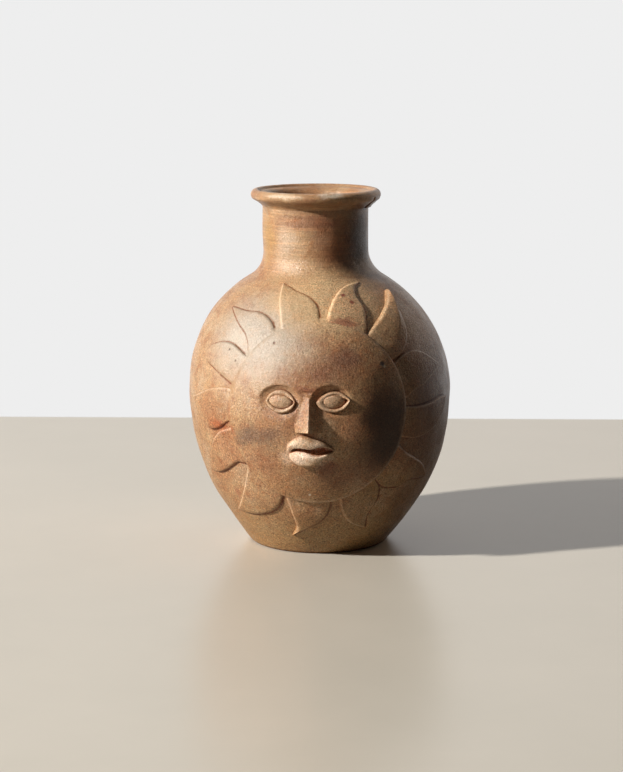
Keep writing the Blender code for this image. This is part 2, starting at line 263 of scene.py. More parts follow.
# last step of every piece: the hand's unevenness, metres, smooth faces, frame and finish
def finishPiece(piece, material, slot, *nodes):
    writePoints(piece, handShape(readPoints(piece)) * mm)
    if not piece.data.materials:
        piece.data.materials.append(material)
    bpy.ops.object.shade_smooth_by_angle(angle=math.radians(42))
    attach(piece, "root")
    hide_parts(*nodes)
    print("piece", piece.name, len(piece.data.polygons), "faces")


# spin a profile, (radius, height) points that run up the outside and down the inside
def turnPiece(name, profile, turns):
    deselectAll()
    bpy.ops.mesh.primitive_plane_add(size=2)
    piece = startPiece(name)
    bpy.ops.object.mode_set(mode="EDIT")
    bpy.ops.mesh.select_all(action="SELECT")
    bpy.ops.mesh.merge(type="CENTER")
    bpy.ops.transform.translate(value=(profile[0][0], 0, profile[0][1]))
    for one, two in zip(profile, profile[1:]):
        step = (two[0] - one[0], 0, two[1] - one[1])
        bpy.ops.mesh.extrude_region_move(TRANSFORM_OT_translate={"value": step})
    bpy.ops.mesh.select_all(action="SELECT")
    bpy.ops.mesh.spin(steps=turns, angle=math.tau, center=(0, 0, 0), axis=(0, 0, 1))
    bpy.ops.object.mode_set(mode="OBJECT")
    outwardFaces(piece)
    return piece


# a flat slab of clay, shaped on the bench by shape(x, y), thickened and bent onto the wall;
# the shape's fourth column: paler for wear and painted highlight, darker for slip and painted shade
def laidPiece(name, columns, rows, shape, depth):
    deselectAll()
    bpy.ops.mesh.primitive_grid_add(x_subdivisions=columns, y_subdivisions=rows, size=2)
    piece = startPiece(name)
    flat = readPoints(piece)
    shaped = shape(flat[:, 0], flat[:, 1])
    writePoints(piece, shaped[:, :3])
    markEdges(piece, shaped[:, 3])
    faceUp = sum(face.normal.z for face in piece.data.polygons) > 0
    applyModifier(piece, "SOLIDIFY", thickness=depth, offset=-1 if faceUp else 1)
    writePoints(piece, placeOnJar(readPoints(piece)))
    outwardFaces(piece)
    return piece


# materials

def hexColour(text):
    channels = [int(text[k:k + 2], 16) / 255 for k in (0, 2, 4)]
    return (*[c / 12.92 if c <= 0.04045 else ((c + 0.055) / 1.055) ** 2.4 for c in channels], 1)


# adds a node: values go to its live inputs in order or by name, and a node or a socket given as
# a value is linked
def addNode(tree, kind, settings=None, *values, **named):
    node = tree.nodes.new("ShaderNode" + kind)
    for key, value in (settings or {}).items():
        setattr(node, key, value)
    live = [socket for socket in node.inputs if socket.enabled]
    given = list(zip(live, values))
    given += [(node.inputs[key.replace("_", " ")], value) for key, value in named.items()]
    for socket, value in given:
        if isinstance(value, bpy.types.Node):
            value = next(output for output in value.outputs if output.enabled)
        if isinstance(value, bpy.types.NodeSocket):
            tree.links.new(value, socket)
        else:
            socket.default_value = value
    return node


# settings that many nodes share
soft = {"interpolation_type": "SMOOTHSTEP"}
mixed = {"data_type": "RGBA"}
tinted = {"data_type": "RGBA", "blend_type": "MULTIPLY"}
plus, minus = {"operation": "ADD"}, {"operation": "SUBTRACT"}
times, larger = {"operation": "MULTIPLY"}, {"operation": "MAXIMUM"}
howFar = {"operation": "LENGTH"}


# Open firing leaves clouds where smoke or flame touched the pot. Each is a soft blot round a
# place on the sun (across, up) or on the jar (x, y, z), in mm: place, reach, colour, strength.
# Not all of them come from the firing: some blots are painted light or painted shade, as marked at
# each.
fireCloudsAndPaintedLight = {
    # painted highlight: the key light's broad sheen over the upper left, painted pale into the colour
    "sheen": ((-56, 62), (66, 48), "C0B8AC", 0.8),
    "forehead": ((12, 36), (30, 23), "946E58", 0.55),
    "foreheadCore": ((20, 42), (17, 12), "74524A", 0.4),
    "foreheadRed": ((2, 31), (13, 10), "86503C", 0.4),
    "cheek": ((-47, -21), (30, 13), "78604E", 0.7),
    "cheekLow": ((-58, -28), (17, 10), "6E5346", 0.5),
    "jawRed": ((-40, -44), (22, 17), "9C5E3E", 0.5),
    "blush": ((-92, -19), (15, 9), "B05A2E", 0.75),
    "blushLow": ((-84, -34), (22, 22), "A8663F", 0.35),
    "discLine": ((-75, -22), (5, 24), "B05E34", 0.75),
    "flameNineSide": ((-73, -86), (8, 13), "A0523A", 0.6),
    # partly smoke, partly painted shade: the right cheek, turned away from the key
    "rightCheekSmokeAndShade": ((58, -17), (35, 58), "301B10", 0.9),
    # partly smoke, partly painted shade: the right side of the jar, away from the key
    "rightSideSmokeAndShade": ((126, 6), (74, 130), "5E4130", 0.8),
    "chin": ((18, -50), (40, 18), "8C5A3E", 0.55),
    # darker just below the lower lip
    "underLip": ((8, -43), (15, 7), "7E4330", 0.5),
    "flameTwoRoot": ((24, 72.5), (16, 4.5), "9A4F3C", 0.65),
    "noseRoot": ((-9, 16), (10, 5), "935040", 0.5),
    # painted shade, reddish, between the nose and the upper lip where the nose's shadow falls
    "philtrumReddishShade": ((-2, -16), (9, 5), "7C3A28", 0.6),
    "lipBlush": ((-7, -20), (5, 4), "A85A44", 0.6),
    # partly wear, partly painted highlight: the lips painted near white where the key lights them
    "lipPale": ((-6, -31), (24, 15), "FFE6D2", 1.0),
    # painted highlight: the nose's left side, which faces the key, painted paler
    "nosePale": ((-8, -5), (7, 15), "D6BEA6", 0.7),
    # painted light: the cheek right of the nose's shadow, painted paler where the key grazes it
    "paintedLitCheek": ((27, -14), (15, 22), "BE8C68", 0.75),
    # painted shade along the nose's left foot
    "noseSideShade": ((-15, -5), (5.5, 15), "8A5A46", 0.55),
    "lowDisc": ((-12, -62), (52, 16), "BC9166", 0.5),
    # painted light: the upward-facing top of the disc and shoulder painted paler, where the key falls
    # more fully
    "crown": ((10, 97), (68, 42), "DEBE94", 0.8),
    # painted light: the second flame painted paler, as the crown is
    "flameTwo": ((27, 92), (21, 27), "E2B88E", 0.6),
    # painted highlight: the lit front-left of the neck painted paler
    "neckPaintedLight": ((-22, -40, 252), (24, 44), "C2A07C", 0.7),
    "neckRed": ((16, -42, 262), (26, 36), "8C5236", 0.55),
    # painted highlight: a streak of sheen on the lit neck
    "neckPaintedSheen": ((-24, -37, 258), (13, 20), "D8C2AC", 0.5),
    # painted highlight on the front-left of the lip roll
    "rollPaintedSheen": ((-26, -48, 297), (20, 4.5), "E2CBAE", 0.7),
    # painted shade under the lip roll
    "underRollShade": ((8, -47, 288.4), (130, 6), "55301B", 0.35),
    "neckUpper": ((-6, -44, 277), (36, 11), "96604A", 0.6),
    # partly smoke, partly painted shade: the neck's side away from the key
    "neckSmokeAndShade": ((41, -24, 253), (33, 50), "2A180B", 0.92),
    "neckOchre": ((-42, -22, 262), (16, 34), "BC9560", 0.7),
    "lipPatch": ((21.5, -50.5, 286.5), (11, 5), "6E6C56", 1.0),
    "mouthAsh": ((14, -46, 299), (13, 4), "E6DACA", 0.8),
    # partly pale ash, partly painted light on the inner wall that the key reaches
    "mouthPaleAshAndLight": ((36, 16, 292), (46, 14), "E2CDB2", 0.95),
    # painted shade: the inside at the left, in the rim's shadow
    "mouthInsideShade": ((-38, 8, 290), (40, 18), "4A3020", 0.85),
    "lowFlames": ((58, -72), (42, 17), "A88452", 0.6),
    "lowWall": ((76, -96), (26, 24), "8C6844", 0.55),
    "footKhaki": ((10, -70, 18), (75, 26), "B8966A", 0.6),
}
potClouds = ["sheen", "crown", "blush", "blushLow", "rightSideSmokeAndShade", "neckPaintedLight", "neckRed",
             "neckSmokeAndShade", "neckOchre", "neckUpper", "neckPaintedSheen", "underRollShade", "rollPaintedSheen", "lipPatch",
             "mouthAsh", "flameNineSide", "footKhaki", "lowWall"]
faceClouds = ["sheen", "crown", "forehead", "foreheadCore", "foreheadRed", "cheek", "cheekLow",
              "jawRed", "discLine", "rightCheekSmokeAndShade", "paintedLitCheek", "lowDisc", "chin", "underLip",
              "nosePale", "noseSideShade", "noseRoot", "philtrumReddishShade", "lipBlush", "lipPale"]
flameClouds = ["sheen", "crown", "blush", "blushLow", "rightSideSmokeAndShade", "flameTwo", "flameTwoRoot",
               "lowFlames"]

# single marks: burnt-out grit leaves pits, iron leaves red specks; place, size, colour, depth
marks = {
    "pitByFlameFour": ((53.6, 38.6), 1.7, "241612", 0.9),
    "chipByFlameFour": ((55.6, 36.4), 1.1, "E2CFB4", 0.2),
    "pitLeftOne": ((-79.6, 50.4), 1.2, "3A2014", 0.5),
    "pitLeftTwo": ((-71.5, 40.0), 1.1, "5A3020", 0.5),
    "pitLeftThree": ((-64.0, 55.8), 0.5, "6A3C26", 0.4),
    "nick": ((-34.6, 55.4), 1.1, "7C584A", 0.6),
    "ironOne": ((23.8, 100.6), 2.1, "8E2F22", 0),
    "ironTwo": ((31.6, 93.7), 2.1, "8A3426", 0),
    "ironThree": ((4.9, 96.2), 2.3, "96402E", 0),
    "limeSpot": ((-5.4, -67.9), 0.9, "EADFCB", 0),
    # painted shade: dark marks down the crack under the lip
    "crackFoot": ((40.2, -18.8, 286.3), 1.9, "1C110A", 0),
    "crackLow": ((42.0, -19.6, 288.5), 1.9, "1C110A", 0),
    "crackHigh": ((44.2, -20.6, 290.6), 1.7, "1C110A", 0),
    "crackEnd": ((46.8, -21.7, 292.6), 1.4, "2A1A10", 0),
}
potMarks = ["ironThree", "crackFoot", "crackLow", "crackHigh", "crackEnd"]
faceMarks = ["pitByFlameFour", "chipByFlameFour", "nick", "limeSpot"]
flameMarks = ["pitLeftOne", "pitLeftTwo", "pitLeftThree", "ironOne", "ironTwo"]

# what varies over the clay: size in mm, detail, roughness, stretch and offset
clayPatterns = {
    "patches": (60.0, 4, 0.62),                                # blotches of the firing
    "mottle": (12.0, 5, 0.66, (1, 1, 1), (0.31, 0.12, 0.07)),
    "film": (27.6, 4, 0.6, (1, 1, 1), (0.5, 0.2, 0.9)),
    "tint": (6.0, 4, 0.65, (1, 1, 1), (0.9, 0.3, 0.2)),
    "flecks": (3.6, 3, 0.65, (1, 1, 1), (0.1, 0.7, 0.3)),
    "fibres": (1.5, 3, 0.62, (1, 1, 0.3), (0.6, 0.1, 0.4)),    # upright streaks of the smoothing
    "grain": (1.25, 3, 0.7),                                   # grit, a little coarse so it shows
    "strokes": (1.4, 3, 0.6, (1 / 22, 1 / 22, 1), (0.2, 0.4, 0.1)),   # burnishing, round the neck
    "dents": (8.0, 2, 0.5),
}

# coats in the order they lie: pattern, where it begins and is full, strength, colour
fireCoats = [("patches", 0.38, 0.60, 1.0, "C09C76"),     # ochre where the fire was clean
             ("mottle", 0.47, 0.64, 0.45, "9C6644"),     # sienna
             ("film", 0.50, 0.66, 0.4, "CBB498"),        # ash
             ("height", 0.06, 0.008, 0.6, "B5915F")]     # the foot, heights in m

# the same, but each tints, lightens or darkens whatever colour it lies on
tintCoats = [("tint", 0.52, 0.66, 0.6, (1.02, 0.91, 0.81)),
             ("tint", 0.48, 0.34, 0.6, (0.90, 0.96, 0.94))]
gritCoats = [("flecks", 0.50, 0.66, 0.9, (0.94, 0.82, 0.74)),
             ("fibres", 0.52, 0.68, 0.9, (1.02, 1.04, 1.0)),
             ("fibres", 0.48, 0.32, 0.9, (0.86, 0.76, 0.70)),
             ("grain", 0.49, 0.33, 0.9, (0.36, 0.31, 0.27)),
             ("grain", 0.53, 0.69, 0.9, (1.85, 1.83, 1.8))]
strokeCoats = [("strokes", 0.52, 0.68, 0.5, (1.5, 1.42, 1.3)),
               ("strokes", 0.48, 0.32, 0.45, (0.62, 0.55, 0.48))]

clayLook = {
    "tan": "B0835E",
    "crevice": "6E3A20",
    "worn": "E6D4BE",              # a pale edge: wear, and painted highlight where an edge catches light
    "bleach": (1.3, 1.36, 1.4),    # and how it lightens
    "slip": (0.5, 0.27, 0.17),     # red slip, smoke and painted shade in the joints and creases darken the clay
    "crease": 0.003,               # m, how near the walls of a crease are for its painted shade
    "blotWaver": (24, 26),         # mm, how long and how wide the edge of a blot wanders
    "markWaver": (2.4, 1.6),
    "blotEdge": (1.05, 0.25),      # where a blot begins and is full, in parts of its reach
    "markEdge": (1.5, 0.7),
    "sheenGrit": (0.025, 0.085, 0.35, 1.0),      # m from the sheen and m up, and the grit's
    "neckGrit": (0.22, 0.245, 1.0, 0.36),        # share at each
    "neckStrokes": (0.215, 0.245),
    "pitSpacing": 17.0,            # mm
    "pitSizes": (0.35, 1.0, 0.0, 0.045),
    "pitEdge": (0.012, -0.006),
    "pitDepth": 0.6,
    "dentDepth": 0.55,
    "fleckDepth": 0.45,
    "strokeDepth": 0.10,
    "ior": 1.5,
    "coat": 0.28,                  # the pebble's polish over the clay
    "coatRoughness": 0.26,
}


def spotPlace(at):
    lifted = placeOnJar(np.array([[*at, 3.5]])) if len(at) == 2 else np.array([at], dtype=float)
    return tuple(handShape(lifted)[0] * mm)


# burnished unglazed terracotta: satin where the pebble rubbed it, chalky in the creases;
# grit is its depth in mm, and burnish is how much the strokes show below the neck
def firedClay(name, clouds, spots, roughness, grit, burnish):
    material = bpy.data.materials.new(name)
    material.use_nodes = True
    tree = material.node_tree
    tree.nodes.clear()
    look = clayLook
    place = addNode(tree, "TexCoord").outputs["Object"]

    def patternAt(size, detail, rough, stretch=(1, 1, 1), offset=(0, 0, 0)):
        where = addNode(tree, "Mapping", None, place, offset, Scale=stretch)
        return addNode(tree, "TexNoise", None, where, 1 / (size * mm), detail, rough)

    # a place whose coordinates waver, so that no blot has a clean edge
    def wavering(size, amount):
        waver = patternAt(size, 4, 0.62).outputs["Color"]
        waver = addNode(tree, "VectorMath", minus, waver, (0.5, 0.5, 0.5))
        waver = addNode(tree, "VectorMath", times, waver, (amount * mm,) * 3)
        return addNode(tree, "VectorMath", plus, place, waver)

    patterns = {key: patternAt(*row) for key, row in clayPatterns.items()}
    height = addNode(tree, "SeparateXYZ", None, place).outputs["Z"]
    patterns["height"] = height

    # lays coats over a colour, held back where the mask is low
    def coated(colour, coats, settings, mask=None):
        for pattern, begins, full, strength, shade in coats:
            amount = addNode(tree, "MapRange", soft, patterns[pattern], begins, full, 0, strength)
            if mask:
                amount = addNode(tree, "Math", times, amount, mask)
            shade = hexColour(shade) if isinstance(shade, str) else (*shade, 1)
            colour = addNode(tree, "Mix", settings, amount, colour, shade)
        return colour

    colour = coated(hexColour(look["tan"]), fireCoats, mixed)
    broken = wavering(*look["blotWaver"])
    for cloud in clouds:
        at, (wide, tall), shade, strength = fireCloudsAndPaintedLight[cloud]
        away = addNode(tree, "VectorMath", minus, broken, spotPlace(at))
        away = addNode(tree, "VectorMath", times, away,
                       (1 / wide / mm, 1 / wide / mm, 1 / tall / mm))
        reach = addNode(tree, "VectorMath", howFar, away)
        amount = addNode(tree, "MapRange", soft, reach, *look["blotEdge"], 0, strength)
        colour = addNode(tree, "Mix", mixed, amount, colour, hexColour(shade))
    colour = coated(colour, tintCoats, tinted)
    # the burnished shoulder and neck show less grit
    away = addNode(tree, "VectorMath", minus, place, spotPlace(fireCloudsAndPaintedLight["sheen"][0]))
    away = addNode(tree, "VectorMath", howFar, away)
    offSheen = addNode(tree, "MapRange", soft, away, *look["sheenGrit"])
    belowNeck = addNode(tree, "MapRange", soft, height, *look["neckGrit"])
    coarse = addNode(tree, "Math", times, offSheen, belowNeck)
    colour = coated(colour, gritCoats, tinted, coarse)
    onNeck = addNode(tree, "MapRange", soft, height, *look["neckStrokes"], burnish, 1.0)
    colour = coated(colour, strokeCoats, tinted, onNeck)
    # pits where grit burnt out, a few of them open
    cells = addNode(tree, "TexVoronoi", {"feature": "F1"}, place, 1 / (look["pitSpacing"] * mm),
                    Randomness=1.0)
    pitSize = addNode(tree, "SeparateColor", None, cells.outputs["Color"])
    pitSize = addNode(tree, "MapRange", soft, pitSize, *look["pitSizes"])
    pits = addNode(tree, "Math", minus, cells, pitSize)
    pits = addNode(tree, "MapRange", soft, pits, *look["pitEdge"])
    amount = addNode(tree, "Math", times, pits, 0.7)
    colour = addNode(tree, "Mix", mixed, amount, colour, hexColour(look["crevice"]))
    ragged = wavering(*look["markWaver"])
    for spot in spots:
        at, size, shade, depth = marks[spot]
        away = addNode(tree, "VectorMath", minus, ragged, spotPlace(at))
        away = addNode(tree, "VectorMath", howFar, away)
        edgeFrom, edgeTo = (size * mm * part for part in look["markEdge"])
        inside = addNode(tree, "MapRange", soft, away, edgeFrom, edgeTo)
        amount = addNode(tree, "Math", times, inside, 0.9)
        colour = addNode(tree, "Mix", mixed, amount, colour, hexColour(shade))
        if depth:
            dug = addNode(tree, "Math", times, inside, depth * 1.6)
            pits = addNode(tree, "Math", larger, pits, dug)
    # joints are darker in a broken line, partly red slip and partly painted shade on sides away from
    # the light, and an edge is paler, partly wear and partly painted highlight
    edge = addNode(tree, "Attribute", {"attribute_name": "edge"}).outputs["Fac"]
    seam = addNode(tree, "MapRange", soft, edge, -0.15, -0.85)
    kept = addNode(tree, "MapRange", soft, patterns["flecks"], 0.36, 0.56, 0.6, 1.0)
    seam = addNode(tree, "Math", times, seam, kept)
    colour = addNode(tree, "Mix", tinted, seam, colour, (*look["slip"], 1))
    worn = addNode(tree, "MapRange", soft, edge, 0.05, 0.9)
    kept = addNode(tree, "MapRange", soft, patterns["flecks"], 0.62, 0.42, 0.5, 0.95)
    worn = addNode(tree, "Math", times, worn, kept)
    colour = addNode(tree, "Mix", tinted, worn, colour, (*look["bleach"], 1))
    worn = addNode(tree, "Math", times, worn, 0.2)
    colour = addNode(tree, "Mix", mixed, worn, colour, hexColour(look["worn"]))
    # creases are darkened red-brown where the walls close in, partly slip and partly painted shade,
    # and are chalky
    shut = addNode(tree, "AmbientOcclusion", {"samples": 8}, Distance=look["crease"])
    crease = addNode(tree, "MapRange", soft, shut.outputs["AO"], 0.72, 0.25)
    amount = addNode(tree, "Math", times, crease, 0.8)
    colour = addNode(tree, "Mix", tinted, amount, colour, (*look["slip"], 1))
    gloss = addNode(tree, "MapRange", soft, patterns["mottle"], 0.3, 0.7, roughness - 0.06,
                    roughness + 0.10)
    gloss = addNode(tree, "Math", plus, gloss, addNode(tree, "Math", times, crease, 0.3))
    # relief from real depths in mm: the hand's dents, strokes, grit and pits
    strokes = addNode(tree, "Math", times, patterns["strokes"], onNeck)
    bump = {}
    for relief, depth, strength in ((patterns["dents"], look["dentDepth"], 0.8),
                                    (patterns["flecks"], look["fleckDepth"], 0.8),
                                    (strokes, look["strokeDepth"], 0.8),
                                    (patterns["grain"], grit, 0.9),
                                    (pits, look["pitDepth"], 1.0)):
        bump = {"Normal": addNode(tree, "Bump", {"invert": relief is pits}, strength, depth * mm,
                                  Height=relief, **bump)}
    clay = addNode(tree, "BsdfPrincipled", None, Base_Color=colour, Metallic=0.0, Roughness=gloss,
                   IOR=look["ior"], Coat_Weight=look["coat"] * (roughness < 0.6),
                   Coat_Roughness=look["coatRoughness"], Coat_IOR=look["ior"],
                   Coat_Normal=bump["Normal"], **bump)
    addNode(tree, "OutputMaterial", None, clay)
    return material


potClay = firedClay("burnishedTerracotta", potClouds, potMarks, 0.40, 0.46, 0.15)
faceClay = firedClay("smokedTerracotta", faceClouds, faceMarks, 0.42, 0.56, 0.10)
flameClay = firedClay("flameTerracotta", flameClouds, flameMarks, 0.42, 0.52, 0.10)
insideClay = firedClay("unburnishedTerracotta", ["mouthPaleAshAndLight", "mouthInsideShade", "mouthAsh"], [], 0.80,
                       0.5, 0.5)
print("materials ready")


# the jar

def wallHeights(bottom, top, row):
    fine = np.linspace(bottom, top, 900)
    run = np.concatenate([[0], np.cumsum(np.hypot(np.diff(fine), np.diff(wallRadius(fine))))])
    count = max(2, round(run[-1] / row))
    return np.interp(np.linspace(0, run[-1], count + 1), run, fine)


def innerPoints(heights):
    radial, upward = wallNormal(heights)
    return list(zip(wallRadius(heights) - jar["wall"] * radial,
                    heights - jar["wall"] * upward))


# faces whose middle is nearer the axis than the mid wall get the unburnished clay
def paintInside(piece):
    piece.data.materials.append(insideClay)
    for face in piece.data.polygons:
        middle = face.center
        radial, upward = wallNormal(np.array([middle.z]))
        depth = wallRadius(np.array([middle.z]))[0] - math.hypot(middle.x, middle.y)
        inside = depth > 0.5 * jar["wall"] / radial[0] and middle.z > 0.5 * jar["floor"]
        if inside or middle.z < 0.2:               # the resting face is unburnished too
            face.material_index = 1


body = {"row": 2.3, "innerRow": 8.0,
        "overlap": 3.0, "sink": 0.05,     # the wall goes on under the neck's clay, dipping
        "footWear": 1.1,
        "wornCorner": [(1.2, 0.0), (0.35, 0.25)]}      # inwards and up, in parts of the wear


def makeBody():
    top = jar["neckStart"]
    wear = body["footWear"]
    foot = [(0.0, 0.0), (jar["base"] * 0.5, 0.0)]
    foot += [(jar["base"] - inwards * wear, up * wear) for inwards, up in body["wornCorner"]]
    heights = wallHeights(wear, top + body["overlap"], body["row"])
    sink = body["sink"] * np.clip(heights - top, 0, None) ** 2
    outer = list(zip(wallRadius(heights) - sink, heights))
    inner = [p for p in innerPoints(wallHeights(6, top, body["innerRow"]))
             if p[1] > jar["floor"] + 3]
    inner = inner[::-1]
    corner = inner[-1][0] - 2.5
    floor = [(corner - 1, jar["floor"] + 1.2), (corner - 6, jar["floor"]), (0.0, jar["floor"])]
    piece = turnPiece("burnishedBody", foot + outer + inner + floor, jar["turns"])
    piece.data.materials.append(potClay)
    paintInside(piece)
    finishPiece(piece, potClay, "burnished_clay", "vessel_body")


neck = {"row": 1.8, "innerRow": 4.0, "overlap": 4.0, "sink": 0.05}


def makeNeck():
    bottom, top = jar["neckStart"] - neck["overlap"], jar["lipStart"] + 1.5
    heights = wallHeights(bottom, top, neck["row"])
    sink = neck["sink"] * np.clip(jar["neckStart"] - heights, 0, None) ** 2
    outer = list(zip(wallRadius(heights) - sink, heights))
    inner = innerPoints(wallHeights(jar["neckStart"], top, neck["innerRow"]))[::-1]
    profile = outer + inner
    piece = turnPiece("burnishedNeck", profile + profile[:1], jar["turns"])
    piece.data.materials.append(potClay)
    paintInside(piece)
    finishPiece(piece, potClay, "burnished_clay", "neck_collar")


lip = {"turns": 576,
       "foot": 1.0,              # starts this far below the neck's end
       "underside": -52,         # degrees round the roll where the flare meets it
       "flare": 1.55,            # powers of the curves up to the roll and down into the mouth
       "mouthFlare": 1.3,
       "innerRoll": 0.75,        # the inner edge is rolled tighter
       "crackAt": 65.0, "crackWidth": 2.5, "crackDepth": 3.6,       # degrees, degrees, mm
       "crackFrom": 284.3, "crackTo": 296.0,
       "flapAt": 80.0, "flapReach": 28.0, "flap": 2.6, "flapFrom": 283.0, "flapTo": 294.0}


def makeLip():
    foot, roll = jar["lipStart"] - lip["foot"], jar["lipRoll"]
    rollCentre, rollHeight = jar["lip"] - roll, jar["height"] - roll
    innerFoot = jar["neck"] - jar["wall"]
    start = math.radians(lip["underside"])
    under = (rollCentre + roll * math.cos(start), rollHeight + roll * math.sin(start))
    profile = []
    for k in range(12):
        part = k / 12
        profile.append((jar["neck"] + (under[0] - jar["neck"]) * part ** lip["flare"],
                        foot + (under[1] - foot) * part))
    for k in range(17):
        angle = start + (math.radians(90) - start) * k / 16
        profile.append((rollCentre + roll * math.cos(angle),
                        rollHeight + roll * math.sin(angle)))
    # over the inner edge, then the mouth narrows to the neck
    for k in range(1, 7):
        angle = math.radians(90 + 9 * k)
        profile.append((rollCentre + roll * lip["innerRoll"] * math.cos(angle),
                        rollHeight + roll * math.sin(angle)))
    edge = profile[-1]
    for k in range(1, 11):
        angle = math.radians(90 - 9 * k)
        narrowing = (1 - math.cos(angle)) ** lip["mouthFlare"]
        profile.append((innerFoot + (edge[0] - innerFoot) * narrowing,
                        foot + (edge[1] - foot) * math.sin(angle)))
    piece = turnPiece("rolledLip", profile + profile[:1], lip["turns"])
    # a firing crack runs up the underside at the right
    points = readPoints(piece)
    turn = np.degrees(np.arctan2(points[:, 0], -points[:, 1]))
    radius = np.hypot(points[:, 0], points[:, 1])
    height = points[:, 2]
    outside = radius > jar["neck"] - 0.5 * jar["wall"]
    wide = lip["crackWidth"] * (0.45 + 0.55 * smoothStep((lip["crackTo"] - height) / 9))
    crack = bell(turn, lip["crackAt"], wide, 4) * outside
    crack *= smoothStep((height - lip["crackFrom"]) / 2)
    crack *= smoothStep((lip["crackTo"] - height) / 4)
    # beside it the coil's edge has lifted off the neck a little
    flap = bell(turn, lip["flapAt"], lip["flapReach"]) * outside
    flap *= smoothStep((height - lip["flapFrom"]) / 1.5) * smoothStep((lip["flapTo"] - height) / 6)
    inwards = 1 + (lip["flap"] * flap - lip["crackDepth"] * crack) / radius
    writePoints(piece, points * np.stack([inwards, inwards, inwards * 0 + 1], axis=1))
    # painted shade down the crack
    markEdges(piece, -1.4 * crack)
    finishPiece(piece, potClay, "burnished_clay", "lip_coil")


makeBody()
makeNeck()
makeLip()

# the sun's disc and face

sun = {
    "middle": (-1.0, 1.0),
    "radius": (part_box("sun_disc")[1].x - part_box("sun_disc")[0].x) / mm / 2,
    "edge": 3.2,             # how far the rim stands off the wall
    "crown": 3.4,
    "crispWidth": 2.4,       # the rim's rounding at the right and below
    "softWidth": 9.5,        # smoothed out into the flames at the upper left
    "softTowards": 124.0,    # degrees from the right, going over the top
    "softPower": 3.0,
    "socketDepth": 4.4,
    "socketPower": 1.8,      # how steeply a socket dips, and what the brow and the cheek add
    "browSteep": 3.8,
    "cheekSteep": 0.7,
    "socketTail": 0.05,      # it runs out softly from this share of its depth
    # middle, reach and size: the fullness round the mouth, the hollow between the lips and the
    # painted shade in it, and the crease over the nose
    "muzzle": (-5, -29, 22, 17, 1.3),
    "mouthHollow": (-2, -28.2, 13, 2.8, 3.6),
    "mouthHollowShade": (-2, -28.4, 14, 2.4, 1.7),
    "browCrease": (-7, 16.2, 6.5, 1.5, 1.0),
    "tuckedIn": 0.15,        # the disc is pressed this far into the wall
    "skirt": 1.6,            # clay past the rim, out of sight in the wall
    "sheet": 1.4,            # thickness of the slab it is cut from
    "underFlames": (24, 66), # degrees between which flames run over the rim
    "rubbed": (0.25, 1.05),  # how pale the rim is painted at the left, for wear, and what the right adds, a painted highlight
    "rubbedAt": (1.6, 1.5),  # where inside the rim, and how wide
    "rimSlip": 1.1,
    "rimSlipAt": (-0.6, 0.8),
}
# the box is the chord of the bent disc, so the arc is longer
sun["radius"] = jar["belly"] * math.asin(min(1.0, sun["radius"] / (jar["belly"] + 3.0)))

# closed outlines from the left corner over the top: the lids' foot and the opening
eyes = {
    "left": {
        "middle": (-28.3, 9.2), "socket": (-29.0, 9.9), "reach": (16.6, 12.4, 15.5),
        "foot": [(-40.3, 8.8), (-38.9, 13.2), (-35.4, 16.5), (-30.8, 18.5), (-25.6, 18.3),
                 (-21.3, 16.3), (-18.0, 13.1), (-15.9, 9.3), (-17.0, 5.5), (-20.6, 1.9),
                 (-24.8, 0.2), (-29.8, 0.1), (-34.4, 2.0), (-38.3, 5.1)],
        "opening": [(-37.2, 9.8), (-35.2, 12.2), (-32.1, 13.8), (-28.1, 14.2), (-23.4, 13.0),
                    (-19.5, 11.0), (-16.9, 9.3), (-19.4, 6.6), (-23.4, 4.4), (-27.3, 3.7),
                    (-31.3, 4.4), (-34.8, 6.6)],
        "ball": (-28.2, 8.8), "ballHalf": (9.8, 5.6), "tilt": -7.0,
    },
    "right": {
        "middle": (13.6, 9.4), "socket": (11.2, 10.3), "reach": (15.8, 12.2, 12.6),
        "foot": [(-0.8, 9.0), (2.4, 12.7), (6.3, 15.5), (10.3, 17.2), (15.1, 17.7), (19.3, 16.9),
                 (22.6, 14.6), (26.0, 10.4), (24.6, 7.1), (21.6, 3.9), (17.5, 1.8), (12.8, 1.1),
                 (8.0, 1.8), (3.9, 3.5), (0.8, 6.0)],
        "opening": [(7.2, 7.3), (7.4, 10.0), (8.8, 12.3), (11.2, 13.8), (14.5, 14.2),
                    (17.9, 13.4), (21.3, 12.0), (23.8, 10.6), (21.4, 7.4), (18.4, 5.1),
                    (14.8, 4.2), (11.2, 4.3), (8.6, 5.3)],
        "ball": (13.2, 9.1), "ballHalf": (9.9, 5.7), "tilt": 9.0,
    },
}


def socketDip(eye, across, up):
    wide, tall, deep = eye["reach"]
    x = (across - eye["socket"][0]) / wide
    y = (up - eye["socket"][1]) / np.where(up > eye["socket"][1], tall, deep)
    reach = np.hypot(x, y) + 1e-6
    rise = y / reach
    power = sun["socketPower"] + np.where(rise > 0, sun["browSteep"], sun["cheekSteep"]) * rise
    depth = 1 - reach ** power
    tail = sun["socketTail"]
    return sun["socketDepth"] * np.where(depth > tail, depth,
                                         tail * np.exp(np.clip(depth / tail - 1, -30, 0)))


def softPlace(form, power, across, up):
    x, y, wide, tall, size = sun[form]
    return size * np.exp(-((across - x) / wide) ** power - ((up - y) / tall) ** 2)


def discSoftness(x, y):
    towards = np.arctan2(y, x) - math.radians(sun["softTowards"])
    return np.clip(0.5 + 0.5 * np.cos(towards), 0, 1) ** sun["softPower"]


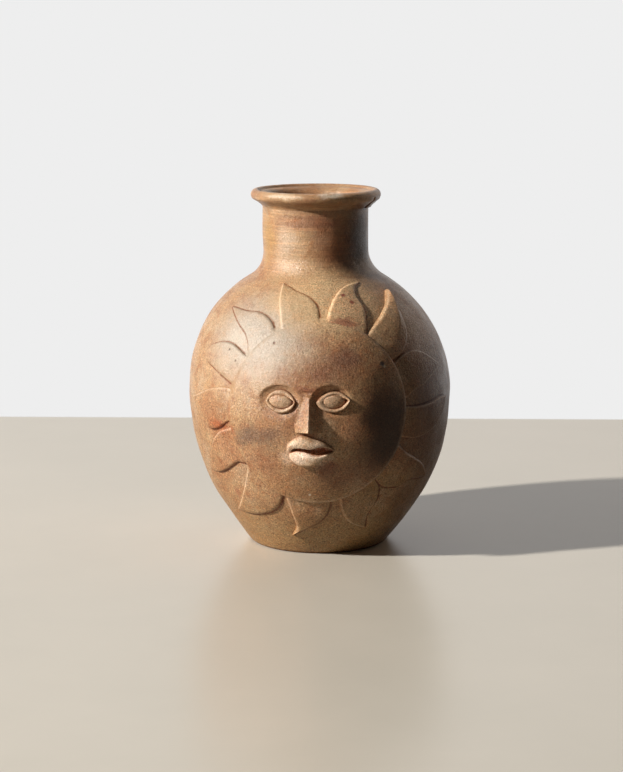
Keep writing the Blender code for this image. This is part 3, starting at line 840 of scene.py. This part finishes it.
def sunLift(across, up):
    x, y = across - sun["middle"][0], up - sun["middle"][1]
    rho = np.hypot(x, y)
    soft = discSoftness(x, y)
    width = sun["crispWidth"] + (sun["softWidth"] - sun["crispWidth"]) * soft
    inwards = (sun["radius"] - rho) / width
    crisp = np.where(inwards > 0, quarterRound(inwards), inwards)
    rim = crisp * (1 - soft) + np.where(inwards > 0, smoothStep(inwards), 0.4 * inwards) * soft
    lift = sun["edge"] * rim
    lift = lift + sun["crown"] * np.clip(1 - (rho / sun["radius"]) ** 2, 0, 1) - sun["tuckedIn"]
    for eye in eyes.values():
        lift = lift - socketDip(eye, across, up)
    lift = lift + softPlace("muzzle", 2, across, up)
    return lift - softPlace("mouthHollow", 4, across, up) - softPlace("browCrease", 4, across, up)


def shapeDisc(x, y):
    radius = sun["radius"] + sun["skirt"]
    across = x * np.sqrt(1 - y * y / 2) * radius + sun["middle"][0]
    up = y * np.sqrt(1 - x * x / 2) * radius + sun["middle"][1]
    x, y = across - sun["middle"][0], up - sun["middle"][1]
    inwards = sun["radius"] - np.hypot(x, y)
    crisp = 1 - discSoftness(x, y)
    angle = np.degrees(np.arctan2(y, x))
    low, high = sun["underFlames"]
    underFlame = smoothStep((angle - low) / 8) * smoothStep((high - angle) / 8)
    # the rim is paler, a little at the left where it is worn, and most at the right, painted
    # highlight where it catches light from behind; slip in the joint outside it
    atLeft, more = sun["rubbed"]
    rubbed = (atLeft + more * smoothStep((x + 35) / 45)) * (1 - underFlame)
    slipAt, slipWide = sun["rimSlipAt"]
    slip = bell(inwards, slipAt + 1.2 * underFlame, slipWide + 0.4 * underFlame)
    edge = rubbed * bell(inwards, *sun["rubbedAt"]) - sun["rimSlip"] * slip
    edge = edge * crisp ** 0.5
    # painted shade in the mouth's hollow between the lips
    edge = edge - softPlace("mouthHollowShade", 4, across, up)
    return np.stack([across, up, sunLift(across, up), edge], axis=1)


def makeDisc():
    piece = laidPiece("sunDisc", 210, 210, shapeDisc, sun["sheet"])
    finishPiece(piece, faceClay, "smoked_clay", "sun_disc")


makeDisc()


# eyes: a coil for the lids, its upper edge pinched, round a lens of clay

# how far a closed outline is from the eye's middle, by direction
def outlineReach(points, middle, angle):
    ring = smoothLine(points + points[:1], np.linspace(0, 1, 600))
    around = np.arctan2(ring[:, 1] - middle[1], ring[:, 0] - middle[0])
    reach = np.hypot(ring[:, 0] - middle[0], ring[:, 1] - middle[1])
    return np.interp(angle, around, reach, period=math.tau)


lids = {"crest": 3.6, "inner": 3.1,        # heights of the coil, and round the opening
        "crestAt": 0.48, "wallAt": 0.86, "opensAt": 0.94,      # in parts of the way in
        "pressedIn": 0.4, "sunk": 0.9, "faces": (168, 36)}


def makeLids(side):
    eye = eyes[side]
    deselectAll()
    bpy.ops.mesh.primitive_torus_add(major_segments=lids["faces"][0],
                                     minor_segments=lids["faces"][1],
                                     major_radius=2, minor_radius=1)
    piece = startPiece(f"eyelids.{side}")
    points = readPoints(piece)
    angle = np.arctan2(points[:, 1], points[:, 0])
    inwards = 0.5 - 0.5 * (np.hypot(points[:, 0], points[:, 1]) - 2)   # 0 outside, 1 inside
    tall = points[:, 2]
    foot = outlineReach(eye["foot"], eye["middle"], angle)
    opening = outlineReach(eye["opening"], eye["middle"], angle)
    reach = foot + (opening - foot) * np.clip(inwards / lids["opensAt"], 0, 1)
    across = eye["middle"][0] + reach * np.cos(angle)
    up = eye["middle"][1] + reach * np.sin(angle)
    rising = quarterRound(inwards / lids["crestAt"])
    falling = (lids["crest"] - lids["inner"]) * smoothStep((inwards - 0.5) / 0.45)
    wall = np.sqrt(1 - np.clip((inwards - lids["wallAt"]) / (1 - lids["wallAt"]), 0, 1) ** 2)
    height = (lids["crest"] * rising - falling) * wall - lids["pressedIn"]
    lift = sunLift(across, up) + np.where(tall > 1e-4, height, -lids["sunk"])
    writePoints(piece, placeOnJar(np.stack([across, up, lift], axis=1)))
    # paler along the crest, wear and painted highlight; dark in the joint outside, slip and painted
    # shade, and painted shade round the ball under the lids
    markEdges(piece, 0.3 + 0.5 * bell(inwards, 0.5, 0.25) - 1.5 * bell(inwards, 0, 0.10)
              - 1.6 * bell(inwards, 0.98, 0.1))
    outwardFaces(piece)
    finishPiece(piece, faceClay, "smoked_clay", f"eyelids_{side}")


ball = {"edge": 2.1, "dome": 2.5, "roundness": 0.6, "sunk": 0.8, "leanOut": 0.012,
        "faces": (96, 48)}


def makeBall(side):
    eye = eyes[side]
    deselectAll()
    bpy.ops.mesh.primitive_uv_sphere_add(segments=ball["faces"][0], ring_count=ball["faces"][1],
                                         radius=1)
    piece = startPiece(f"eyeball.{side}")
    points = readPoints(piece)
    lean = math.radians(eye["tilt"])
    x, y = points[:, 0] * eye["ballHalf"][0], points[:, 1] * eye["ballHalf"][1]
    across = eye["ball"][0] + x * math.cos(lean) - y * math.sin(lean)
    up = eye["ball"][1] + x * math.sin(lean) + y * math.cos(lean)
    dome = np.clip(1 - points[:, 0] ** 2 - points[:, 1] ** 2, 0, 1) ** ball["roundness"]
    floor = sunLift(np.array([eye["ball"][0]]), np.array([eye["ball"][1]]))[0]
    surface = floor + ball["edge"] + ball["dome"] * dome + ball["leanOut"] * (up - eye["ball"][1])
    lift = np.where(points[:, 2] > 0, surface, floor - ball["sunk"])
    # the ball paler all over, and painted shade round its rim where the lids overhang it
    markEdges(piece, 0.45 - 1.6 * bell(np.hypot(points[:, 0], points[:, 1]), 1, 0.07))
    writePoints(piece, placeOnJar(np.stack([across, up, lift], axis=1)))
    outwardFaces(piece)
    finishPiece(piece, faceClay, "smoked_clay", f"eyeball_{side}")


for side in eyes:
    makeLids(side)
    makeBall(side)

# nose: a wedge whose sides run out on the cheeks, with a flat underside

nose = {
    "bridge": 14.2, "base": -14.4, "middle": -5.5,
    # part of the length, half width of the facets, height of the ridge
    "shape": [(0.0, 4.0, 0.8), (0.1, 4.4, 2.1), (0.22, 5.1, 3.4), (0.35, 6.0, 4.7),
              (0.5, 7.1, 6.0), (0.65, 8.3, 7.3), (0.8, 9.5, 8.5), (0.92, 10.3, 9.3),
              (1.0, 10.6, 9.8)],
    "flare": 1.62,           # how far the hollow runs out, in facets
    "flareBelow": 1.15,      # and beside the nostrils
    "hollow": 0.17,
    "ridgeRounding": 0.035,
    "wing": 0.8,             # fullness of the nostrils, where and how wide in facets
    "wingAt": (0.74, 0.2),
    "underPart": 0.22,       # share of the rows that fold under
    "tuck": 0.22,            # the tip stands this much above the base, for its height
    "sheet": 0.8,
}


def shapeNose(x, y):
    part = (1 - y) / 2
    top = 1 - nose["underPart"]
    down = np.clip(part / top, 0, 1)
    under = np.clip((part - top) / nose["underPart"], 0, 1)
    shape = np.array(nose["shape"])
    half, ridge = (np.interp(down, shape[:, 0], shape[:, k]) for k in (1, 2))
    side = np.sign(x) * np.abs(x) ** 1.15            # closer columns at the ridge
    flare = nose["flareBelow"] + (nose["flare"] - nose["flareBelow"]) * (
        1 - smoothStep((down - 0.80) / 0.16))
    away = np.abs(side) * flare
    slope = (1 - away + np.hypot(1 - away, nose["hollow"] * (flare - 1) / 0.6)) / 2
    slope = slope * (1 - smoothStep((away - 1) / (flare - 1))) - 0.05 * (away / flare) ** 6
    slope = slope - nose["ridgeRounding"] * bell(away, 0, 0.08)
    wing = nose["wing"] * bell(away, *nose["wingAt"]) * smoothStep((down - 0.66) / 0.28)
    rise = ridge * slope + wing
    rise = rise * smoothStep(down / 0.08 + 0.2) - 0.5 * (1 - smoothStep(down / 0.05))
    across = nose["middle"] + np.sign(x) * away * half
    fullUp = nose["bridge"] + (nose["base"] - nose["bridge"]) * down
    tuck = nose["tuck"] * rise * smoothStep((down - 0.8) / 0.2)
    height = rise * (1 - under) - 0.6 * under
    up = fullUp + tuck * (1 - under) - 0.2 * under
    # paler along the ridge, wear and painted highlight; painted shade under the tip
    edge = (0.25 + 0.6 * bell(away, -0.1, 0.3)) * (1 - under) * down * (away < 1.1)
    edge = edge - 1.1 * smoothStep((under - 0.45) / 0.5) * (away < 1.05)
    return np.stack([across, up, sunLift(across, up) + height, edge], axis=1)


def makeNose():
    piece = laidPiece("nose", 72, 96, shapeNose, nose["sheet"])
    finishPiece(piece, faceClay, "smoked_clay", "nose")


makeNose()

# mouth: two full lips, open a little, wider at the right

mouth = {
    "upper": {
        "outer": [(-20.6, -31.8), (-22.6, -28.6), (-22.3, -25.4), (-20.8, -22.3), (-17.7, -19.6),
                  (-14.7, -17.7), (-10.9, -16.3), (-7.1, -16.9), (-4.1, -18.0), (-0.4, -19.4),
                  (3.4, -20.6), (6.4, -22.1), (9.4, -24.2), (13.1, -27.6), (14.8, -29.4)],
        "inner": [(-19.4, -30.6), (-17.3, -27.2), (-15.5, -26.4), (-11.8, -26.0), (-8.2, -26.8),
                  (-5.3, -27.3), (-3.2, -26.9), (-0.3, -25.5), (2.6, -24.6), (5.5, -24.8),
                  (8.4, -26.2), (13.0, -28.5)],
        "full": 6.8, "round": 0.62, "ends": 0.6, "sheet": 0.8,      # size, section, corners
    },
    "lower": {
        "outer": [(-20.6, -31.8), (-20.0, -35.2), (-17.8, -37.6), (-14.8, -39.9), (-11.7, -41.1),
                  (-8.0, -41.7), (-4.2, -41.2), (-1.2, -39.9), (1.3, -38.2), (3.6, -35.8),
                  (6.6, -33.7), (9.6, -31.8), (13.4, -30.2)],
        "inner": [(-19.4, -30.9), (-17.8, -29.6), (-15.6, -28.7), (-11.9, -28.4), (-8.3, -28.7),
                  (-4.7, -29.9), (-1.0, -31.0), (1.9, -31.3), (4.8, -31.0), (8.4, -30.2),
                  (12.6, -29.5)],
        "full": 7.2, "round": 0.34, "ends": 0.4, "sheet": 0.8,
    },
}


# x runs from the left corner to the right, y from the cheek to the mouth's opening; past its
# ends the lip's skirt dives into the cheek and into the hollow
def shapeLip(which):
    lipShape = mouth[which]

    def shape(x, y):
        along = (x + 1) / 2
        part = (y + 1) / 2 * 1.12 - 0.06
        outer = smoothLine(lipShape["outer"], along)
        inner = smoothLine(lipShape["inner"], along)
        place = outer + (inner - outer) * np.clip(part, -0.06, 1.0)[:, None]
        ends = np.sin(np.pi * np.clip(along, 0.0, 1.0)) ** lipShape["ends"]
        swell = np.clip(part, 0, 1)
        rise = quarterRound(swell / lipShape["round"])
        roll = np.sqrt(np.clip(1 - (np.clip(swell - 0.86, 0, 1) / 0.14) ** 2, 0, 1))
        height = lipShape["full"] * ends * rise * (0.10 + 0.90 * roll)
        height = height - 0.7 * (part < 0) - 2.0 * smoothStep((part - 1.0) / 0.06)
        lift = sunLift(place[:, 0], place[:, 1]) + height - 0.5 * (1 - ends)
        # paler where it is fullest, wear and painted highlight; painted shade in the mouth's opening,
        # and dark round the lip's foot, slip and painted shade
        edge = 0.5 + 0.3 * bell(swell, 0.8, 0.12)
        edge = edge - 2.2 * smoothStep((part - 0.92) / 0.07)
        edge = edge - 1.4 * bell(part, -0.01, 0.05)
        return np.stack([place[:, 0], place[:, 1], lift, edge], axis=1)

    return shape


def makeMouth():
    for which in mouth:
        piece = laidPiece(f"mouth.{which}Lip", 96, 48, shapeLip(which), mouth[which]["sheet"])
        finishPiece(piece, faceClay, "smoked_clay", f"{which}_lip")


makeMouth()

# flames: flat leaves of clay. Each has the side that comes first going clockwise (lead), the
# other side (trail), both from the disc to the tip, its thickness and, if it has one, its
# ridge: where across (1 at the trail) and how high.

flames = {
    "01": {"lead": [(-31, 68), (-33, 80), (-35, 93), (-35.5, 105)],
           "trail": [(2, 72), (2, 81), (0.5, 89), (-4, 96), (-11, 102), (-19, 106), (-27, 112)],
           "tip": (-34, 118), "thick": 3.0, "sides": (4.2, 3.4), "trailThin": 0.6,
           "taper": 0.35, "seam": (0.8, 0.1)},
    "02": {"lead": [(8, 73), (10, 85), (15, 98), (23, 110), (33, 117)],
           "trail": [(42, 64), (44, 81), (43, 90), (38, 100), (37, 112)],
           "tip": (43.5, 121), "thick": 2.8, "sides": (2.6, 3.2), "trailThin": 0.3,
           "taper": 0.55, "seam": (0.8, 0.1)},
    "03": {"lead": [(43, 64), (48, 70), (55, 78), (62, 88), (66.3, 95), (69.3, 105)],
           "trail": [(66, 42), (77, 49), (83, 60), (84, 71), (82, 81), (78, 93), (75, 104)],
           "tip": (72, 115), "thick": 3.9, "ridge": (0.35, 2.4), "dipReach": 17,
           "sides": (2.3, 3.6), "seam": (0.3, 0.3)},
    "04": {"lead": [(68, 41), (75, 46), (82, 49.5), (91, 50.7), (101, 49), (110, 45),
                    (119, 40.3)],
           "trail": [(78, 8), (84, 13), (96, 17.6), (105, 23), (118, 30)],
           "tip": (128, 36), "thick": 3.0, "sides": (1.5, 1.8), "seam": (0.1, 0.3)},
    "05": {"lead": [(78, 1), (84, 0.3), (97, 0.3), (106, 1.1), (120, 3.6)],
           "trail": [(73, -26), (85, -29.6), (95, -29.8), (107, -27), (117, -21.3),
                     (127, -11.4)],
           "tip": (134, 3), "thick": 3.0, "sides": (1.6, 1.8), "seam": (0.2, 0.9)},
    "06": {"lead": [(71, -33), (77, -40), (87.7, -49), (97, -58), (102, -68)],
           "trail": [(50, -63), (55, -69), (63.5, -72.3), (71, -74), (78, -72.3), (85, -71.8),
                     (93, -75)],
           "tip": (105, -79), "thick": 3.0, "sides": (1.6, 1.8), "trailThin": 0.75,
           "seam": (1.0, 0.1)},
    "07": {"lead": [(49, -61.5), (52.2, -68), (52, -75), (49.7, -83), (44.8, -90), (41, -97)],
           "trail": [(17.8, -73), (18.4, -80), (20.7, -89), (25, -96.5), (31, -101.5)],
           "tip": (40, -107), "thick": 3.0, "sides": (2.2, 1.5), "leadThin": 0.75,
           "seam": (0.1, 1.0)},
    "08": {"lead": [(11, -73), (10, -83), (6, -91), (0, -97), (-8, -102)],
           "trail": [(-25, -73), (-22, -84), (-19, -93), (-17, -101)],
           "tip": (-21, -111), "thick": 2.8, "sides": (4.2, 2.3), "seam": (0.1, 0.8)},
    "09": {"lead": [(-27, -72), (-30, -82), (-38, -91), (-47, -96), (-58, -100.5), (-67, -102)],
           "trail": [(-59, -51), (-62, -63), (-65, -76), (-68, -88)],
           "tip": (-74, -103), "thick": 2.3, "sides": (3.2, 4.6), "seam": (0.1, 0.9)},
    "10": {"lead": [(-61, -49), (-69, -50), (-75, -55), (-84, -63), (-93, -69)],
           "trail": [(-77, -19), (-90, -25), (-98, -35), (-102, -49), (-103.5, -61)],
           "tip": (-103, -72), "thick": 2.4, "sides": (2.6, 2.8), "seam": (0.1, 0.9)},
    "11": {"lead": [(-79, -14), (-88, -21), (-98, -25), (-111, -22), (-124, -12)],
           "trail": [(-80, 17), (-98, 15), (-116, 8)],
           "tip": (-134, 1), "thick": 2.4, "seam": (0.1, 0.9)},
    "12": {"lead": [(-77, 21), (-86, 26), (-98, 33), (-110, 40)],
           "trail": [(-63, 46), (-71, 52), (-78, 56), (-88, 58), (-104, 56)],
           "tip": (-120, 49), "thick": 2.2},
    "13": {"lead": [(-60, 49), (-61, 57), (-64, 64), (-72, 74), (-80, 85)],
           "trail": [(-36, 68), (-40, 76), (-46, 82), (-54, 86), (-66, 88), (-77, 92)],
           "tip": (-87, 96), "thick": 2.2, "sides": (3.2, 2.0), "trailThin": 0.2,
           "taper": 0.4},
}

# what holds for every flame that doesn't say otherwise
leaf = {"sides": (2.3, 2.3),     # rounding of the trailing and leading sides
        "seam": (0.8, 0.8),      # how dark the joint along each side is: slip, and painted shade on a side away from the light
        "taper": 0.12,
        "trailThin": 0, "leadThin": 0,
        "dome": 0.08,            # fuller in the middle by this share
        "flange": 2.5,           # skirt past the sides: how wide, how high it lies, where and
        "skirtLift": 0.06,       # how deep it dives
        "diveAt": 1.8, "dive": 0.9,
        "rows": 80, "columns": 44, "sheet": 1.0,
        "tuckedIn": 5.0,         # how far a root goes under the disc
        "rootDip": 0.4,          # a root lies lower where it meets the disc,
        "dipReach": 6}           # from this far off

# these roots were smoothed over the disc's edge with a finger
smoothedRoots = {"names": ("01", "02", "12", "13"), "under": 19.0, "smear": 1.5}


# a side's line from under the disc to the tip
def sideLine(side, tip, under):
    start = np.array(side[0]) - sun["middle"]
    start *= (sun["radius"] - under) / np.hypot(*start)
    return [tuple(start + sun["middle"]), *side, tip]


# a soft maximum, the disc's own surface once the disc stands above the leaf
def smearOverDisc(place, lift, hidden):
    smear = smoothedRoots["smear"]
    disc = sunLift(place[:, 0], place[:, 1])
    sunk = lift - 5.0 * smoothStep((hidden - 3.0) / 7.0)
    share = np.clip(0.5 + 0.5 * (sunk - disc) / smear, 0, 1)
    blended = disc + (sunk - disc) * share + smear * share * (1 - share)
    joint = smoothStep((hidden + 1.0) / 4.0)
    return lift + (blended - 0.04 - lift) * joint, joint


# x runs across from trail to lead, y from under the disc to the tip
def shapeFlame(name):
    flame = {**leaf, **flames[name]}
    smoothed = name in smoothedRoots["names"]
    under = smoothedRoots["under"] if smoothed else leaf["tuckedIn"]
    lines = [sideLine(flame[side], flame["tip"], under) for side in ("trail", "lead")]

    def shape(x, y):
        along = (y + 1) / 2
        trail, lead = (smoothLine(line, along) for line in lines)
        spread = np.sign(x) * (1 - (1 - np.abs(x)) ** 1.7)      # more rows near the sides
        width = np.hypot(*(lead - trail).T)
        ways = (lead - trail) / np.maximum(width, 0.01)[:, None]
        half = width / 2
        # past the side a thin skirt lies on the wall, then dives into it
        reach = spread * (half + flame["flange"])
        inwards = half - np.abs(reach)
        place = (lead + trail) / 2 + ways * reach[:, None]
        share = np.clip(-reach / np.maximum(half, 0.01), -1, 1)        # 1 at the trail
        rounded = quarterRound(inwards / np.where(x < 0, *flame["sides"]))
        body = flame["thick"] * (1 + flame["dome"] * np.clip(inwards / 12, 0, 1)) * rounded
        body = body * (1 - flame["trailThin"] * smoothStep(0.5 + 0.5 * share))
        body = body * (1 - flame["leadThin"] * smoothStep(0.5 - 0.5 * share))
        if "ridge" in flame:
            at, extra = flame["ridge"]
            tent = 1 - np.where(share > at, (share - at) / (1 - at), (at - share) / (1 + at))
            body = body + extra * tent * rounded * np.clip(1.3 * along, 0, 1)
        body = body * (1 - flame["taper"] * along ** 2)
        skirt = -flame["dive"] * smoothStep((-inwards - flame["diveAt"]) / 0.7)
        lift = flame["skirtLift"] + np.where(inwards > 0, body, skirt)
        # a joint is dark, with slip and painted shade on a side away from the light, and a side
        # without it is pale, worn and painted highlight where it catches light
        seam = np.where(x < 0, *flame["seam"])
        edge = (1 - seam) * bell(inwards, 1.4, 0.9) - 1.4 * seam * bell(inwards, -0.45, 1.0)
        # the root dives once the disc covers it, or runs smoothly into the disc
        hidden = sun["radius"] - np.hypot(place[:, 0] - sun["middle"][0],
                                          place[:, 1] - sun["middle"][1])
        if smoothed:
            lift, joint = smearOverDisc(place, lift, hidden)
            edge = edge * (1 - joint)
        else:
            dip = flame["rootDip"] * bell(np.minimum(hidden + 2, 0), 0, flame["dipReach"])
            lift = lift * (1 - dip)
            lift = lift - 1.8 * smoothStep((hidden - 0.5 * under) / (0.5 * under)) ** 2
        return np.stack([place[:, 0], place[:, 1], lift, edge], axis=1)

    return shape


def makeFlames():
    for name in flames:
        piece = laidPiece(f"flame.{name}", leaf["columns"], leaf["rows"], shapeFlame(name),
                          leaf["sheet"])
        finishPiece(piece, flameClay, "flame_clay", f"flame_{name}")


makeFlames()
print("pieces ready")

# stage: one sheet of pale paper, grey under the vase and white behind it

stage = {"pale": "DED9CE", "shade": "D2CEC3", "white": "EEEEEE", "size": 12.0, "sunk": 0.0002,
         "edge": 0.52, "edgeBlur": 0.003,      # m behind the vase, where grey turns to white
         "tooth": 7.0, "sheen": 0.28,
         "bounceLit": "B4AC9C", "bounceShade": "7A736A", "bounceFromTo": (0.22, -0.16)}


# camera, glossy and transmission rays see the plain white surroundings
def seenRays(tree):
    path = addNode(tree, "LightPath").outputs
    seen = addNode(tree, "Math", larger, path["Is Camera Ray"], path["Is Glossy Ray"])
    return addNode(tree, "Math", larger, seen, path["Is Transmission Ray"])


def makeStage():
    deselectAll()
    bpy.ops.mesh.primitive_plane_add(size=stage["size"], location=(0, 0, -stage["sunk"]))
    floor = startPiece("studioFloor")
    bpy.ops.object.transform_apply(location=True)
    paper = bpy.data.materials.new("matteStudioFloor")
    paper.use_nodes = True
    tree = paper.node_tree
    tree.nodes.clear()
    place = addNode(tree, "TexCoord").outputs["Object"]
    where = addNode(tree, "SeparateXYZ", None, place).outputs
    beyond = addNode(tree, "MapRange", soft, where["Y"], stage["edge"] - stage["edgeBlur"],
                     stage["edge"] + stage["edgeBlur"])
    tooth = addNode(tree, "TexNoise", None, place, stage["tooth"], 6, 0.62)
    colour = addNode(tree, "Mix", mixed, tooth, hexColour(stage["shade"]),
                     hexColour(stage["pale"]))
    # the sheet looks pale all over, but sends little light up at the right of the vase
    litPart = addNode(tree, "MapRange", soft, where["X"], *stage["bounceFromTo"])
    bounce = addNode(tree, "Mix", mixed, litPart, hexColour(stage["bounceShade"]),
                     hexColour(stage["bounceLit"]))
    straight = addNode(tree, "LightPath").outputs["Is Camera Ray"]
    colour = addNode(tree, "Mix", mixed, straight, bounce, colour)
    sheet = addNode(tree, "BsdfPrincipled", None, Base_Color=colour, Roughness=stage["sheen"],
                    IOR=1.5)
    white = addNode(tree, "Emission", None, hexColour(stage["white"]), 1.0)
    amount = addNode(tree, "Math", times, beyond, seenRays(tree))
    both = addNode(tree, "MixShader", None, amount, sheet, white)
    addNode(tree, "OutputMaterial", None, both)
    floor.data.materials.append(paper)


makeStage()

# light: a key from the left, a soft top, a rim from behind, a pale room

light = {
    # degrees round from the front (right is plus), degrees up, metres away
    "key": {"turn": -68, "rise": 28, "away": 6.0, "size": 0.3, "power": 540.0,
            "colour": "FFF8EF"},
    "top": {"turn": 160, "rise": 76, "away": 2.1, "size": 1.6, "power": 3.4,
            "colour": "FAF6F0"},
    "rim": {"turn": 128, "rise": 24, "away": 2.0, "size": 1.0, "power": 4.0,
            "colour": "FFDFC4"},
    "aimedAt": (0, 0, 0.13),
    "room": 0.018, "roomColour": "F8F4EE",
    "roomInFront": 0.10,     # what a sheen sees where the room behind the camera is
    "roomTurns": (0.50, 1.0),      # where it turns to the white behind the vase
}


def makeLight():
    for name in ("key", "top", "rim"):
        lamp = light[name]
        turn, rise = math.radians(lamp["turn"]), math.radians(lamp["rise"])
        towards = Vector((math.sin(turn) * math.cos(rise), -math.cos(turn) * math.cos(rise),
                          math.sin(rise)))
        deselectAll()
        bpy.ops.object.light_add(type="AREA",
                                 location=Vector(light["aimedAt"]) + towards * lamp["away"])
        item = bpy.context.active_object
        item.name = f"{name}Light"
        item.data.shape = "DISK"
        item.data.size = lamp["size"]
        item.data.energy = lamp["power"]
        item.data.color = hexColour(lamp["colour"])[:3]
        item.rotation_euler = (-towards).to_track_quat("-Z", "Y").to_euler()
    world = bpy.data.worlds.new("paleRoom")
    bpy.context.scene.world = world
    world.use_nodes = True
    tree = world.node_tree
    tree.nodes.clear()
    glow = addNode(tree, "Background", None, hexColour(light["roomColour"]), light["room"])
    white = addNode(tree, "Background", None, hexColour(stage["white"]), 1.0)
    # the room is white behind the vase, and a sheen sees it dimmer on the near side
    way = addNode(tree, "TexCoord").outputs["Generated"]
    behind = addNode(tree, "SeparateXYZ", None, way).outputs["Y"]
    behind = addNode(tree, "MapRange", soft, behind, *light["roomTurns"], light["roomInFront"],
                     1.0)
    straight = addNode(tree, "LightPath").outputs["Is Camera Ray"]
    share = addNode(tree, "Math", larger, straight, behind)
    share = addNode(tree, "Math", times, share, seenRays(tree))
    both = addNode(tree, "MixShader", None, share, glow, white)
    addNode(tree, "OutputWorld", None, both)


makeLight()

# camera, solved from the vase's outline, its rim and its foot in the photograph

camera = {"distance": 1.753, "height": 0.4541, "down": 10.422, "azimuth": 1.1, "yaw": 0.214,
          "sensor": 36.0,
          "focal": 2090 / 772}           # focal length for the frame's height, both in pixels


def makeCamera():
    turn = math.radians(camera["azimuth"])
    place = (camera["distance"] * math.sin(turn), -camera["distance"] * math.cos(turn),
             camera["height"])
    bpy.ops.object.camera_add(location=place)
    item = bpy.context.active_object
    item.name = "photoCamera"
    item.data.sensor_fit = "VERTICAL"
    item.data.sensor_height = camera["sensor"]
    item.data.lens = camera["focal"] * camera["sensor"]
    item.rotation_euler = (math.radians(90 - camera["down"]), 0,
                           turn + math.radians(camera["yaw"]))
    bpy.context.scene.camera = item


makeCamera()
bpy.context.scene.view_settings.view_transform = "Standard"
